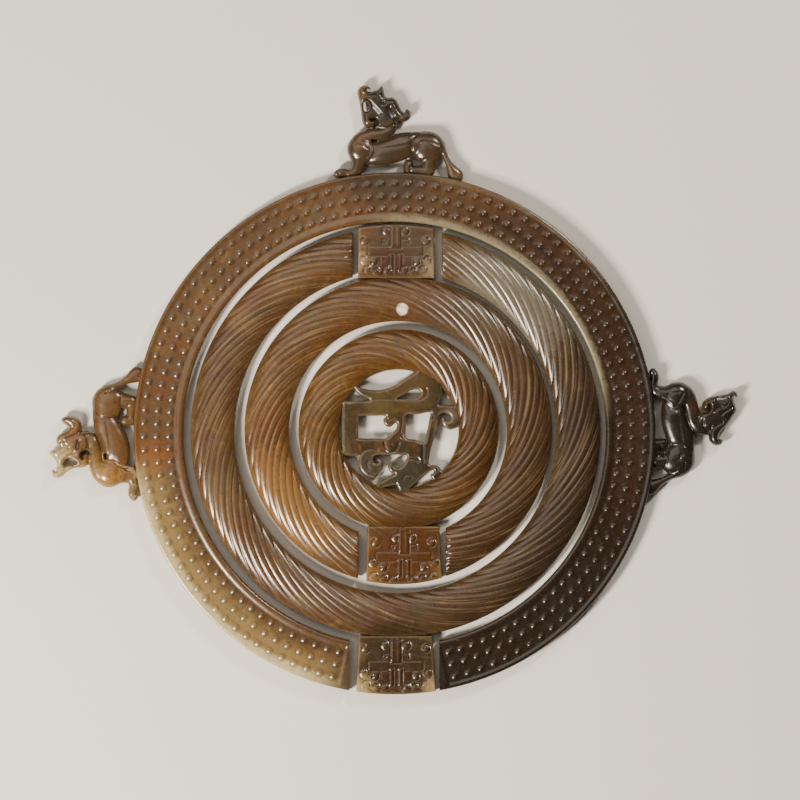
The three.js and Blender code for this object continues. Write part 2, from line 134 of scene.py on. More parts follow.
def plate(edge, top, bottom, area, pitch):
    """A closed plate cut out along an outline.

    `edge(x, y)` is the distance inside the outline, below 0 outside it. A square grid covers `area`; the
    outline cuts its cells where `edge` changes sign. At a depth d inside the outline `top(x, y, d)` gives
    the height of the upper face and the groove mark, and `bottom(x, y, d)` the height of the lower face. A
    wall of quads joins them all along.
    """
    x0, x1, y0, y1 = area
    x, y = np.meshgrid(np.arange(x0, x1, pitch), np.arange(y0, y1, pitch), indexing="ij")
    depth = edge(x, y)
    least = 0.12 * pitch
    depth = np.where(np.abs(depth) < least, np.where(depth < 0, -least, least), depth)
    inside = depth > 0
    across = inside[:-1] != inside[1:]
    upward = inside[:, :-1] != inside[:, 1:]
    share_x = depth[:-1] / np.where(across, depth[:-1] - depth[1:], 1)
    share_y = depth[:, :-1] / np.where(upward, depth[:, :-1] - depth[:, 1:], 1)
    flat_x = np.concatenate([x[inside], (x[:-1] + share_x * pitch)[across], x[:, :-1][upward]])
    flat_y = np.concatenate([y[inside], y[:-1][across], (y[:, :-1] + share_y * pitch)[upward]])
    flat_d = np.concatenate([depth[inside], np.zeros(across.sum() + upward.sum())])
    number = np.cumsum(inside).reshape(inside.shape) - 1
    number_x = inside.sum() + np.cumsum(across).reshape(across.shape) - 1
    number_y = inside.sum() + across.sum() + np.cumsum(upward).reshape(upward.shape) - 1
    cell_corners = [number[:-1, :-1], number[1:, :-1], number[1:, 1:], number[:-1, 1:]]
    cell_crossings = [number_x[:, :-1], number_y[1:], number_x[:, 1:], number_y[:-1]]
    cell = np.stack(cell_corners + cell_crossings, -1)
    kind = inside[:-1, :-1] + 2 * inside[1:, :-1] + 4 * inside[1:, 1:] + 8 * inside[:-1, 1:]
    top_faces, cuts = [], []
    for case, (faces, edges) in CELL_CASES.items():
        here = cell[kind == case]
        top_faces += [here[:, list(face)] for face in faces]
        cuts += [here[:, list(cut)] for cut in edges]
    cuts = np.concatenate(cuts)
    count = len(flat_x)
    bottom_faces = [face[:, ::-1] + count for face in top_faces]
    wall = np.stack([cuts[:, 0] + count, cuts[:, 1] + count, cuts[:, 1], cuts[:, 0]], -1)
    height, groove = top(flat_x, flat_y, flat_d)
    upper = np.stack([flat_x, flat_y, height], -1)
    lower = np.stack([flat_x, flat_y, bottom(flat_x, flat_y, flat_d)], -1)
    faces = [face for face in top_faces + bottom_faces + [wall] if len(face)]
    # Rim mark: a painted glow of light on the thin jade near an outline.
    rim = 1 - smoothstep(0.0, RIM_WIDTH, flat_d)
    marks = {"rim": np.concatenate([rim, rim]), "groove": np.concatenate([groove, np.zeros(count)])}
    return np.concatenate([upper, lower]), faces, marks


# ---- Lines, strokes and domes in the plane.


def smoothstep(low, high, value):
    """0 up to `low`, 1 from `high` on, and a smooth rise between."""
    share = np.clip((value - low) / (high - low), 0, 1)
    return share * share * (3 - 2 * share)


def soft_max(a, b, blend):
    """The larger of two values, rounded off where they are less than `blend` apart."""
    near = np.clip(1 - np.abs(a - b) / blend, 0, 1)
    return np.maximum(a, b) + near * near * blend / 4


def rounded_off(a, b, c, d, steps):
    """Points between stations b and c of Catmull-Rom lines whose next stations are a and d."""
    t = np.linspace(0, 1, steps, endpoint=False)[:, None, None]
    line = 0.5 * (2 * b + (c - a) * t + (2 * a - 5 * b + 4 * c - d) * t**2 + (3 * b - a - 3 * c + d) * t**3)
    return line.transpose(1, 0, 2).reshape(-1, b.shape[1])


def smooth_line(stations, steps=6):
    """A Catmull-Rom line through stations, whose further columns are blended alike."""
    p = np.asarray(stations, float)
    if len(p) < 3:
        return p
    q = np.vstack([2 * p[0] - p[1], p, 2 * p[-1] - p[-2]])
    return np.vstack([rounded_off(q[:-3], q[1:-2], q[2:-1], q[3:], steps), p[-1]])


def smooth_loop(stations, steps=5):
    """A closed Catmull-Rom line through stations."""
    p = np.asarray(stations, float)
    return rounded_off(np.roll(p, 1, 0), p, np.roll(p, -1, 0), np.roll(p, -2, 0), steps)


def nearest(x, y, line):
    """Distance from each point to a line of straight runs, and further values of the nearest place."""
    best = np.full(x.shape, 1e9)
    values = [np.zeros(x.shape) for _ in range(line.shape[1] - 2)]
    for a, b in zip(line[:-1], line[1:]):
        run = b - a
        length = max(run[0] ** 2 + run[1] ** 2, 1e-9)
        share = np.clip(((x - a[0]) * run[0] + (y - a[1]) * run[1]) / length, 0, 1)
        gap = np.hypot(x - a[0] - share * run[0], y - a[1] - share * run[1])
        width = a[2] + share * run[2] if len(values) else 0
        closer = gap - width < best
        best = np.where(closer, gap - width, best)
        values = [np.where(closer, a[k + 2] + share * run[k + 2], old) for k, old in enumerate(values)]
    return best, values


def stroke(x, y, line):
    """Distance inside a stroke of changing width, with its half width and half thickness nearby."""
    outside, (width, thick) = nearest(x, y, line)
    return -outside, width, thick


def dome(depth, width, thick, power=2.3):
    """Height of a rounded ridge at a depth inside its outline: an oval's arch, fuller with `power`."""
    off = np.clip(1 - depth / width, 0, 1)
    return thick * np.sqrt(np.clip(1 - off**power, 0, 1))


def inside_loop(x, y, loop):
    """Distance inside a closed outline, below 0 outside: the even-odd rule and the nearest run."""
    inside = np.zeros(x.shape, bool)
    gap = np.full(x.shape, 1e9)
    for a, b in zip(loop, np.roll(loop, -1, 0)):
        run = b - a
        dx, dy = x - a[0], y - a[1]
        share = np.clip((dx * run[0] + dy * run[1]) / max(run @ run, 1e-9), 0, 1)
        gap = np.minimum(gap, np.hypot(dx - share * run[0], dy - share * run[1]))
        crossed = (a[1] > y) != (b[1] > y)
        inside ^= crossed & (dx < dy * run[0] / (run[1] or 1e-9))
    return np.where(inside, gap, -gap)


def beside(x, y, line):
    """The gap to a line of straight runs, the side (1 left, -1 right) and the way along, 0 to 1."""
    runs = np.diff(line, axis=0)
    lengths = np.hypot(*runs.T)
    starts = np.concatenate([[0], np.cumsum(lengths)])
    gap, side, way = np.full(x.shape, 1e9), np.zeros(x.shape), np.zeros(x.shape)
    for a, run, length, start in zip(line, runs, lengths, starts):
        dx, dy = x - a[0], y - a[1]
        share = np.clip((dx * run[0] + dy * run[1]) / max(length**2, 1e-9), 0, 1)
        new = np.hypot(dx - share * run[0], dy - share * run[1])
        closer = new < gap
        gap = np.where(closer, new, gap)
        side = np.where(closer, np.sign(run[0] * dy - run[1] * dx), side)
        way = np.where(closer, start + share * length, way)
    return gap, side, way / starts[-1]


def incised(x, y, line, deep, low_side=0, half=0.28, slope=1.1):
    """Depth of a line cut into a surface, shallower towards both its ends.

    The cut is bell-shaped, `half` wide. With a low side, 1 for left and -1 for right, the cut is steep on
    the other side of the line only, and on the low side it comes up gently over `slope`, as where one form
    lies on another.
    """
    gap, side, way = beside(x, y, np.asarray(line, float)[:, :2])
    taper = smoothstep(0, 0.15, way) * smoothstep(0, 0.15, 1 - way)
    steep = np.exp(-((gap / half) ** 2))
    gentle = np.exp(-((gap / slope) ** 1.5))
    return deep * taper * np.where(side * low_side > 0, gentle, steep)


def rounded_edge(depth, radius):
    """How far a face drops near its outline, as a quarter circle."""
    short = np.clip(radius - depth, 0, radius)
    return radius - np.sqrt(radius**2 - short**2)


# ---- Jade.


class Nodes:
    """Short calls that add shader nodes and link them."""

    def __init__(self, tree):
        self.tree = tree

    def add(self, kind, **settings):
        node = self.tree.nodes.new(kind)
        for key, value in settings.items():
            setattr(node, key, value)
        return node

    def link(self, source, target):
        self.tree.links.new(source, target)

    def feed(self, socket, value):
        if isinstance(value, bpy.types.NodeSocket):
            self.link(value, socket)
        else:
            socket.default_value = value

    def set(self, node, settings):
        for name, value in settings.items():
            node.inputs[name].default_value = value

    def math(self, operation, a, b=0.0):
        node = self.add("ShaderNodeMath", operation=operation)
        self.feed(node.inputs[0], a)
        self.feed(node.inputs[1], b)
        return node.outputs[0]

    def plus(self, a, b):
        return self.math("ADD", a, b)

    def minus(self, a, b):
        return self.math("SUBTRACT", a, b)

    def times(self, a, b):
        return self.math("MULTIPLY", a, b)

    def span(self, value, low, high, out_low=0.0, out_high=1.0):
        node = self.add("ShaderNodeMapRange", interpolation_type="SMOOTHSTEP")
        self.feed(node.inputs["Value"], value)
        self.set(node, {"From Min": low, "From Max": high, "To Min": out_low, "To Max": out_high})
        return node.outputs[0]

    def mix(self, share, a, b):
        node = self.add("ShaderNodeMix", data_type="RGBA")
        self.feed(node.inputs[0], share)
        self.feed(node.inputs[6], a)
        self.feed(node.inputs[7], b)
        return node.outputs[2]

    def tint(self, colour, value, low, high, at_low, at_high, code):
        return self.mix(self.span(value, low, high, at_low, at_high), colour, rgba(code))

    def mark(self, name):
        return self.add("ShaderNodeAttribute", attribute_name=name).outputs["Fac"]

    def noise(self, at, scale, detail=3.0, roughness=0.55, distortion=0.0):
        node = self.add("ShaderNodeTexNoise")
        self.link(at, node.inputs["Vector"])
        self.set(node, {"Scale": scale, "Detail": detail, "Roughness": roughness, "Distortion": distortion})
        return node.outputs["Fac"]


def rgba(code):
    """A linear colour from a six-digit sRGB code."""
    parts = np.array([int(code[i : i + 2], 16) for i in (0, 2, 4)]) / 255
    linear = np.where(parts <= 0.04045, parts / 12.92, ((parts + 0.055) / 1.055) ** 2.4)
    return (*linear, 1.0)


def from_middle(nodes, x, y, middle=(0.0, 0.0)):
    """The steps right and up from a middle, and the distance from it."""
    dx = nodes.minus(x, middle[0])
    dy = nodes.minus(y, middle[1])
    squares = nodes.plus(nodes.math("POWER", dx, 2.0), nodes.math("POWER", dy, 2.0))
    return dx, dy, nodes.math("SQRT", squares)


def rope_streaks(nodes, x, y, rope):
    """Noise drawn out along a rope ring's ridges.

    It is read on a circle, at the angle that a place has when its ridge is followed inward to the bore.
    """
    width = rope["rim"] - rope["bore"]
    ridge_turn = 2 * math.pi * rope["wound"] / rope["ridges"]
    dx, dy, radius = from_middle(nodes, x, y, rope["centre"])
    share = nodes.math("DIVIDE", nodes.minus(radius, rope["bore"]), width)
    angle = nodes.minus(nodes.math("ARCTAN2", dy, dx), nodes.times(share, ridge_turn))
    mean_radius = rope["bore"] + width / 2
    on_circle = nodes.add("ShaderNodeCombineXYZ")
    nodes.link(nodes.times(nodes.math("COSINE", angle), mean_radius), on_circle.inputs[0])
    nodes.link(nodes.times(nodes.math("SINE", angle), mean_radius), on_circle.inputs[1])
    nodes.link(nodes.times(radius, 0.12), on_circle.inputs[2])
    return nodes.noise(on_circle.outputs[0], 0.75, 3.0, 0.65)


def places(nodes, shift):
    """The place in millimetres from the ring's middle, its x and y, and the place moved by `shift`."""
    coordinates = nodes.add("ShaderNodeTexCoord")
    place = nodes.add("ShaderNodeMapping")
    nodes.set(place, {"Scale": (1 / MM, 1 / MM, 1 / MM), "Location": (-CENTRE[0], -CENTRE[1], 0.0)})
    nodes.link(coordinates.outputs["Object"], place.inputs["Vector"])
    at = place.outputs["Vector"]
    parts = nodes.add("ShaderNodeSeparateXYZ")
    nodes.link(at, parts.inputs[0])
    moved = nodes.add("ShaderNodeMapping")
    nodes.set(moved, {"Location": shift})
    nodes.link(at, moved.inputs["Vector"])
    return at, parts.outputs[0], parts.outputs[1], moved.outputs["Vector"]


def honey_smoke_and_shade(nodes, x, y, inner, mottle, honey, smoke_and_shade, smoke_and_shade_from):
    """Honey jade with clouds, mottling and patches, which turns to a darker smoky brown towards the lower
    right: partly the jade's own tone, partly painted shade where the light falls off.
    """
    clouds = nodes.noise(inner, 0.035, 4.0, 0.55, 0.5)
    patches = nodes.noise(inner, 0.075, 4.0, 0.62, 0.8)
    lean = nodes.plus(nodes.times(x, 0.9), nodes.times(y, -0.42))
    lean = nodes.plus(lean, nodes.times(nodes.minus(clouds, 0.5), 90.0))
    colour = nodes.tint(rgba(honey), clouds, 0.52, 0.75, 0.0, 0.35, "816337")
    colour = nodes.tint(colour, mottle, 0.48, 0.72, 0.0, 0.5, "362111")
    colour = nodes.tint(colour, mottle, 0.28, 0.44, 0.35, 0.0, "876c45")
    colour = nodes.tint(colour, patches, 0.52, 0.66, 0.0, 0.55, "593318")
    colour = nodes.tint(colour, patches, 0.34, 0.47, 0.5, 0.0, "51452a")
    smoked_and_shaded = nodes.tint(rgba(smoke_and_shade), mottle, 0.4, 0.66, 0.0, 0.35, "0d0804")
    # The darker smoky colour takes over towards the lower right: the jade's own tone and painted shade
    # together.
    return nodes.mix(nodes.span(lean, *smoke_and_shade_from, 0.0, 0.92), colour, smoked_and_shaded)


def lay_spots(nodes, colour, x, y, ragged, spots):
    """Lays round spots with ragged edges over a colour."""
    for cx, cy, full, gone, code, strength in spots:
        _, _, away = from_middle(nodes, x, y, (cx, cy))
        edge = nodes.plus(away, nodes.times(ragged, 1.4 * (gone - full)))
        colour = nodes.tint(colour, edge, full, gone, strength, 0.0, code)
    return colour


def lay_bands(nodes, colour, x, y, ragged, bands):
    """Lays bands with ragged edges over a colour, each a stretch of a ring about the outer ring's middle."""
    _, _, radius = from_middle(nodes, x, y)
    for middle, half_turn, near, far, soft, code, strength in bands:
        turn, half = math.radians(middle), math.radians(half_turn)
        to_right = nodes.times(x, math.cos(turn))
        along = nodes.plus(to_right, nodes.times(y, math.sin(turn)))
        facing = nodes.math("DIVIDE", along, nodes.plus(radius, 0.001))
        wide = nodes.span(facing, math.cos(half), math.cos(0.6 * half))
        wavy = nodes.plus(radius, nodes.times(ragged, 2.5 * soft))
        rise = nodes.span(wavy, near - soft, near + soft)
        fall = nodes.span(wavy, far - soft, far + soft, 1.0, 0.0)
        across = nodes.times(rise, fall)
        share = nodes.times(across, nodes.times(wide, strength))
        colour = nodes.mix(share, colour, rgba(code))
    return colour


def polish(nodes, shader, at, mottle):
    """Uneven gloss that follows the mottling, light that sinks in a little, and a fine bump."""
    nodes.link(nodes.span(mottle, 0.3, 0.7, 0.19, 0.3), shader.inputs["Roughness"])
    nodes.set(shader, {"IOR": 1.61, "Subsurface Weight": 0.2, "Subsurface Scale": 0.5})
    nodes.set(shader, {"Subsurface Radius": (0.004, 0.0022, 0.001)})
    bump = nodes.add("ShaderNodeBump")
    nodes.set(bump, {"Strength": 0.2, "Distance": 0.0001})
    nodes.link(nodes.noise(at, 1.2, 4.0, 0.6), bump.inputs["Height"])
    nodes.link(bump.outputs["Normal"], shader.inputs["Normal"])


def jade(name, honey, smoke_and_shade, smoke_and_shade_from, shift, spots=(), bands=(), rim=("907952", 0.3), rope=None):
    """Polished jade, from honey brown at the left to a darker smoky brown at the right and below, partly the
    jade's tone and partly painted shade.

    Clouds, mottling and fine rusty specks break up the colour, and `spots` and `bands` lay further colours
    on it. A spot is (x, y, full radius, radius where it ends, colour, strength). A band follows the ring:
    (middle angle, half turn, radius from, radius to, softness, colour, strength). Thin edges are paler, by
    the colour and strength of `rim`, a painted glow of light on them, and dirt and painted shade darken the
    grooves. On a rope ring, pale and dark streaks follow the ridges.
    """
    material = bpy.data.materials.new(name)
    material.use_nodes = True
    nodes = Nodes(material.node_tree)
    shader = material.node_tree.nodes["Principled BSDF"]
    at, x, y, inner = places(nodes, shift)
    mottle = nodes.noise(inner, 0.2, 4.0, 0.62, 0.5)
    specks = nodes.noise(inner, 0.8, 3.0, 0.6, 0.3)
    colour = honey_smoke_and_shade(nodes, x, y, inner, mottle, honey, smoke_and_shade, smoke_and_shade_from)
    if rope:
        streaks = rope_streaks(nodes, x, y, rope)
        colour = nodes.tint(colour, streaks, 0.54, 0.72, 0.0, 0.5, "97815d")
        colour = nodes.tint(colour, streaks, 0.3, 0.46, 0.4, 0.0, "28190c")
    ragged = nodes.minus(nodes.plus(mottle, nodes.times(specks, 0.5)), 0.75)
    colour = lay_spots(nodes, colour, x, y, ragged, spots)
    colour = lay_bands(nodes, colour, x, y, ragged, bands)
    colour = nodes.tint(colour, specks, 0.55, 0.70, 0.0, 0.45, "331d0d")
    colour = nodes.tint(colour, specks, 0.30, 0.42, 0.1, 0.0, "826c49")
    # Painted glow of light on thin edges, where the rim mark is high.
    pale = nodes.times(nodes.mark("rim"), nodes.span(mottle, 0.35, 0.6, 1.0, 0.6))
    colour = nodes.mix(nodes.times(pale, rim[1]), colour, rgba(rim[0]))
    # Dirt and painted shade in the grooves, darker where the groove mark is high.
    colour = nodes.mix(nodes.times(nodes.mark("groove"), 0.6), colour, rgba("1f1109"))
    nodes.link(colour, shader.inputs["Base Color"])
    polish(nodes, shader, at, mottle)
    return material


# Rope rings. `wound` is the number of ridges met on the way from the bore straight out to the rim.
ROPES = {
    "second": {"bore": 61.55, "rim": 78.6, "centre": (0.4, 0.5), "ridges": 60, "wound": 6.3},
    "third": {"bore": 41.7, "rim": 59.0, "centre": (1.4, 1.3), "ridges": 43, "wound": 6.2},
    "inner": {"bore": 22.9, "rim": 38.5, "centre": (1.6, 1.5), "ridges": 29, "wound": 5.4},
}

OUTER_JADE = jade(
    "outer_jade",
    "4f381f",
    "150f09",
    (-20.0, 60.0),
    (0.0, 0.0, 0.0),
    spots=[
        (-95.0, -9.0, 1.0, 11.0, "774418", 0.75),
        (-117.0, -2.0, 14.0, 30.0, "583f21", 0.7),
        (-105.0, -14.0, 2.0, 9.0, "663a15", 0.6),
        (-115.0, -22.0, 5.0, 16.0, "957239", 0.7),
        (-131.0, -12.0, 4.0, 12.0, "ae9a6c", 0.8),
        (-122.0, 3.0, 1.0, 7.0, "6b4522", 0.6),
        (-2.0, 110.0, 14.0, 30.0, "322a20", 0.8),
        (-5.0, 127.0, 5.0, 10.0, "1e1812", 0.85),
        (-13.0, 131.0, 1.5, 6.0, "59411f", 0.6),
        (-11.5, 112.5, 1.0, 8.0, "56371d", 0.5),
        # Darker right beast: partly its own greyer tone, partly painted shade.
        (112.0, 2.0, 18.0, 34.0, "1c1a15", 0.9),
        (117.0, 11.0, 1.0, 7.0, "452b18", 0.6),
    ],
    bands=[
        (222, 40, 89.5, 105, 4.0, "826c41", 0.8),
        (222, 38, 96.8, 101, 1.6, "c2b384", 0.85),
        (52, 50, 60, 83.4, 1.3, "857c61", 0.8),
        (48, 24, 88.6, 91.0, 1.2, "120a06", 0.8),
        (30, 60, 84.5, 97.0, 1.5, "382113", 0.5),
        # Dark outer rim at the lower right: painted shade.
        (330, 70, 98.2, 102.0, 0.7, "0c0907", 0.75),
        (62, 26, 98.2, 102.0, 0.7, "5a4e3c", 0.5),
    ],
    rim=("645235", 0.12),
)
SECOND_JADE = jade(
    "second_jade",
    "4c3520",
    "291f15",
    (-5.0, 85.0),
    (310.0, 40.0, 0.0),
    spots=[
        # Grey patch at the upper right: partly the jade's greyer tone, partly a painted sheen of highlights.
        (47.0, 54.0, 14.0, 31.0, "665f52", 0.9),
        (0.5, -85.0, 10.0, 19.0, "29200f", 0.8),
        (-1.0, -90.0, 4.0, 10.0, "311a0c", 0.8),
        (-14.5, -98.0, 0.5, 8.0, "a8905c", 0.85),
        (15.5, -97.0, 0.5, 6.5, "958156", 0.85),
        (-14.5, -84.0, 0.5, 5.0, "6c5836", 0.6),
    ],
    rope=ROPES["second"],
)
THIRD_JADE = jade(
    "third_jade",
    "54391e",
    "2e1e12",
    (-20.0, 80.0),
    (-120.0, 260.0, 0.0),
    spots=[
        (-42.0, -30.0, 12.0, 30.0, "815b2c", 0.7),
        (26.0, 42.0, 8.0, 24.0, "473728", 0.7),
        (3.0, 72.0, 9.0, 17.0, "40362a", 0.8),
        (-2.0, 64.0, 5.0, 10.0, "3e2618", 0.7),
        (-14.5, 66.0, 0.5, 6.0, "927d59", 0.8),
        (-14.5, 72.0, 0.5, 4.5, "7c6a4c", 0.6),
        (15.5, 63.0, 0.5, 6.5, "908163", 0.75),
        (15.5, 70.0, 0.5, 4.0, "7a6d54", 0.6),
        (2.9, 47.6, 1.7, 2.6, "e6dcc8", 1.0),
        (18.0, 52.0, 0.3, 1.6, "54210e", 0.8),
    ],
    rope=ROPES["third"],
)
INNER_JADE = jade(
    "inner_jade",
    "573b17",
    "36210c",
    (-15.0, 55.0),
    (90.0, -330.0, 0.0),
    spots=[
        (3.0, -45.0, 8.0, 19.0, "42240b", 0.75),
        (-10.0, -54.0, 1.0, 6.0, "85632c", 0.6),
        (-10.5, -42.0, 0.5, 5.0, "6b4f28", 0.6),
        (18.0, -52.0, 0.5, 6.0, "6b4c22", 0.6),
    ],
    rope=ROPES["inner"],
)
PANEL_JADE = jade(
    "panel_jade",
    "312914",
    "22190f",
    (-10.0, 25.0),
    (40.0, 170.0, 0.0),
    spots=[
        (6.0, 17.0, 5.0, 12.0, "4c3920", 0.7),
        (-6.0, 10.5, 3.0, 8.0, "4e4021", 0.7),
        (21.0, 7.0, 1.5, 5.0, "645244", 0.7),
        (2.0, -16.0, 6.0, 13.0, "343024", 0.7),
        (-9.0, -12.0, 3.0, 7.0, "383429", 0.7),
    ],
    # Pale rims on the openings' edges: a painted glow of light.
    rim=("7c6e58", 0.6),
)


# ---- The outer ring.

BORE = 81.1
OPENING = (-17.4, 17.2)  # straight sides of the gap at the bottom of the ring
BOSS_ROWS = np.array([96.05, 91.1, 86.4])  # radii of the three rows
BOSS_FIELD = (84.0, 98.4)  # the sunk ground between plain borders
# Bosses in a full turn, the first one's angle, and how many of them are there in each row.
BOSSES = {"turn": 115, "first": math.radians(-76.1), "filled": 107}
# The bell of a boss, and the smaller one beside it, round the ring and outward from its middle.
BOSS = {"radius": 0.75, "height": 0.46, "tail": (1.25, -0.75), "tail_radius": 0.7, "tail_height": 0.15}
SUNK = 0.35  # depth of the field of bosses below the borders


def boss_places(r, angle):
    """How far points lie from the nearest boss, round the ring and outward, and their boss column."""
    pitch = 2 * math.pi / BOSSES["turn"]
    column = (angle - BOSSES["first"]) / pitch
    nearest_column = np.clip(np.round(column), 0, BOSSES["filled"] - 1)
    row = BOSS_ROWS[np.abs(r[..., None] - BOSS_ROWS).argmin(-1)]
    return (column - nearest_column) * pitch * r, r - row, column


def boss_field(r, column):
    """1 on the sunk field of bosses and 0 on the plain borders and beyond the last bosses."""
    low, high = BOSS_FIELD
    across = smoothstep(low - 1.2, low + 0.6, r) * (1 - smoothstep(high - 0.8, high + 0.9, r))
    last = BOSSES["filled"]
    return across * smoothstep(-0.62, -0.5, column) * (1 - smoothstep(last - 0.5, last - 0.38, column))


def boss_height(r, angle):
    """Height of the outer ring's face: borders, a sunk field, and a bell with a small tail per boss."""
    around, outward, column = boss_places(r, angle)

    def bell(off_around, off_out, radius, height):
        return height * np.exp(-(np.hypot(around - off_around, outward - off_out) / radius) ** 2)

    peak = bell(0, 0, BOSS["radius"], BOSS["height"])
    bump = np.maximum(peak, bell(*BOSS["tail"], BOSS["tail_radius"], BOSS["tail_height"]))
    return SLAB - SUNK * boss_field(r, column) + bump


def boss_foot(r, angle):
    """Dirt and painted shade round the foot of each boss, 0 to 1: a soft ring at 1.7 times the bell's radius.
    """
    around, outward, column = boss_places(r, angle)
    rho = np.hypot(around, outward) / BOSS["radius"]
    return 0.8 * boss_field(r, column) * np.exp(-(((rho - 1.7) / 0.5) ** 2))


def flat_ring():
    """The outer ring: closed sections that fan from one straight side of the opening to the other."""
    bore_edge = [BORE, BORE + 0.2, BORE + 0.7]
    rim_edge = [99.1, 99.6, 99.9, RIM]
    plain, carved = np.linspace(BORE + 1.5, 83.6, 3), np.linspace(83.8, 98.6, 38)
    across = np.concatenate([bore_edge, plain, carved, rim_edge])
    drop = np.interp(across, bore_edge + rim_edge, [0.9, 0.35, 0, 0, 0.15, 0.45, 0.9])
    below = np.array([RIM, RIM - 0.5, 95.0, 90.0, 85.0, BORE + 0.5, BORE])
    below_z = np.array([0.6, 0.0, 0.0, 0.0, 0.0, 0.0, 0.6])
    section_radius = np.concatenate([across, below])
    start = -math.pi / 2 + np.arcsin(OPENING[1] / section_radius)
    end = 1.5 * math.pi + np.arcsin(OPENING[0] / section_radius)
    columns = 1296
    share = np.linspace(0, 1, columns)[:, None]
    angle = start + (end - start) * share
    radius = np.broadcast_to(section_radius, angle.shape)
    z = np.empty(angle.shape)
    n = len(across)
    z[:, :n] = boss_height(radius[:, :n], angle[:, :n]) - drop
    z[:, n:] = below_z
    points = np.stack([radius * np.cos(angle), radius * np.sin(angle), z], -1).reshape(-1, 3)
    section = n + len(below)
    body = grid_faces(columns, section, closed_columns=True)
    first_end = np.arange(section)[None, ::-1]
    last_end = (columns - 1) * section + np.arange(section)[None, :]
    hollow = np.zeros(angle.shape)
    hollow[:, :n] = boss_foot(radius[:, :n], angle[:, :n])
    # Rim mark at the bore and the rim: a painted glow of light on the thin edges.
    rim = np.interp(radius, [BORE, BORE + RIM_WIDTH, RIM - RIM_WIDTH, RIM], [1.0, 0.0, 0.0, 1.0])
    return points, [body, first_end, last_end], {"rim": rim.ravel(), "groove": hollow.ravel()}


# ---- Rope rings.

WAIST = 3.4  # height at which a rope's section is widest
CROWN = 8.0  # height of the rope ridges
ROPE_GROOVE = 0.26  # depth of the grooves between the ridges


def rope_ring(bore, rim, centre, ridges, wound):
    """A domed ring carved as twisted rope.

    The section is a rounded oval above and a flatter one below. On it, ridge number c runs at the angle 2
    pi (c + wound * share) / ridges, share being the way from bore to rim, so the ridges wind outward.
    Between two ridges the surface sinks towards its groove by the 2.2th power of the distance from the
    ridge's middle.
    """
    ridge_places = np.array([-0.5, -0.43, -0.31, -0.16, 0.0, 0.16, 0.31, 0.43])
    column = (np.arange(ridges)[:, None] + ridge_places).ravel()
    above = np.linspace(math.pi, 0, 27)
    below = -np.linspace(0, math.pi, 11)[1:-1]
    turn = np.concatenate([above, below])
    power = np.where(turn >= 0, 2 / 2.4, 2 / 4.5)
    out = np.sign(np.cos(turn)) * np.abs(np.cos(turn)) ** power
    up = np.sign(np.sin(turn)) * np.abs(np.sin(turn)) ** power
    share = 0.5 + 0.5 * out
    z = WAIST + np.where(turn >= 0, CROWN - WAIST, WAIST) * up
    slope = np.hypot(out, up)
    sink = ROPE_GROOVE * np.abs(2 * ridge_places) ** 2.2
    sink = np.tile(sink, ridges)[:, None] * smoothstep(4.0, 6.8, z)[None, :]
    radius = bore + (rim - bore) * share[None, :] - sink * (out / slope)[None, :]
    angle = 2 * math.pi * (column[:, None] + wound * share[None, :]) / ridges
    height = z[None, :] - sink * (up / slope)[None, :]
    x = centre[0] + radius * np.cos(angle)
    y = centre[1] + radius * np.sin(angle)
    points = np.stack([x, y, height], -1).reshape(-1, 3)
    shade = 0.35 * sink / ROPE_GROOVE
    # Edge mark at both sides of the section: a painted glow of light on the thin edges.
    edge = 0.6 * (1 - smoothstep(0.0, 0.09, np.minimum(share, 1 - share)))
    marks = {"rim": np.broadcast_to(edge, shade.shape).ravel(), "groove": shade.ravel()}
    return points, [grid_faces(len(column), len(turn), True, True)], marks


def cut_opening(obj, left, right, near, far):
    """Saws a straight-sided gap out of a ring by taking a block away."""
    low = (np.array([left, min(near, far), -2.0]) + [*CENTRE, 0]) * MM
    high = (np.array([right, max(near, far), 12.0]) + [*CENTRE, 0]) * MM
    corners = [(x, y, z) for z in (low[2], high[2]) for y in (low[1], high[1]) for x in (low[0], high[0])]
    faces = [(0, 2, 3, 1), (4, 5, 7, 6), (0, 1, 5, 4), (2, 6, 7, 3), (0, 4, 6, 2), (1, 3, 7, 5)]
    mesh = bpy.data.meshes.new("saw_cut")
    mesh.from_pydata(corners, [], faces)
    mesh.materials.append(obj.data.materials[0])
    block = bpy.data.objects.new("saw_cut", mesh)
    bpy.context.scene.collection.objects.link(block)
    saw = obj.modifiers.new("saw", "BOOLEAN")
    saw.operation = "DIFFERENCE"
    saw.solver = "MANIFOLD"
    saw.object = block
    shaped = bpy.data.meshes.new_from_object(obj.evaluated_get(bpy.context.evaluated_depsgraph_get()))
    obj.modifiers.clear()
    obj.data = shaped
    bpy.data.objects.remove(block)


# ---- Tabs and masks.

TAB_TOP = 6.0  # height of a tab's ground
TAB_PITCH = 0.21


def spiral_cut(across, up, curl):
    """Groove of a small curl, 0 to 1: its radius grows evenly while it turns through `sweep` degrees."""
    cx, cy, start, sweep, near, far = curl
    rho = np.hypot(across - cx, up - cy)
    turned = np.degrees(np.arctan2(up - cy, across - cx)) - start
    share = np.mod(turned * np.sign(sweep), 360) / abs(sweep)
    taper = smoothstep(0, 0.12, share) * (1 - smoothstep(0.8, 1, share))
    return taper * np.exp(-(((rho - near - (far - near) * share) / 0.3) ** 2))


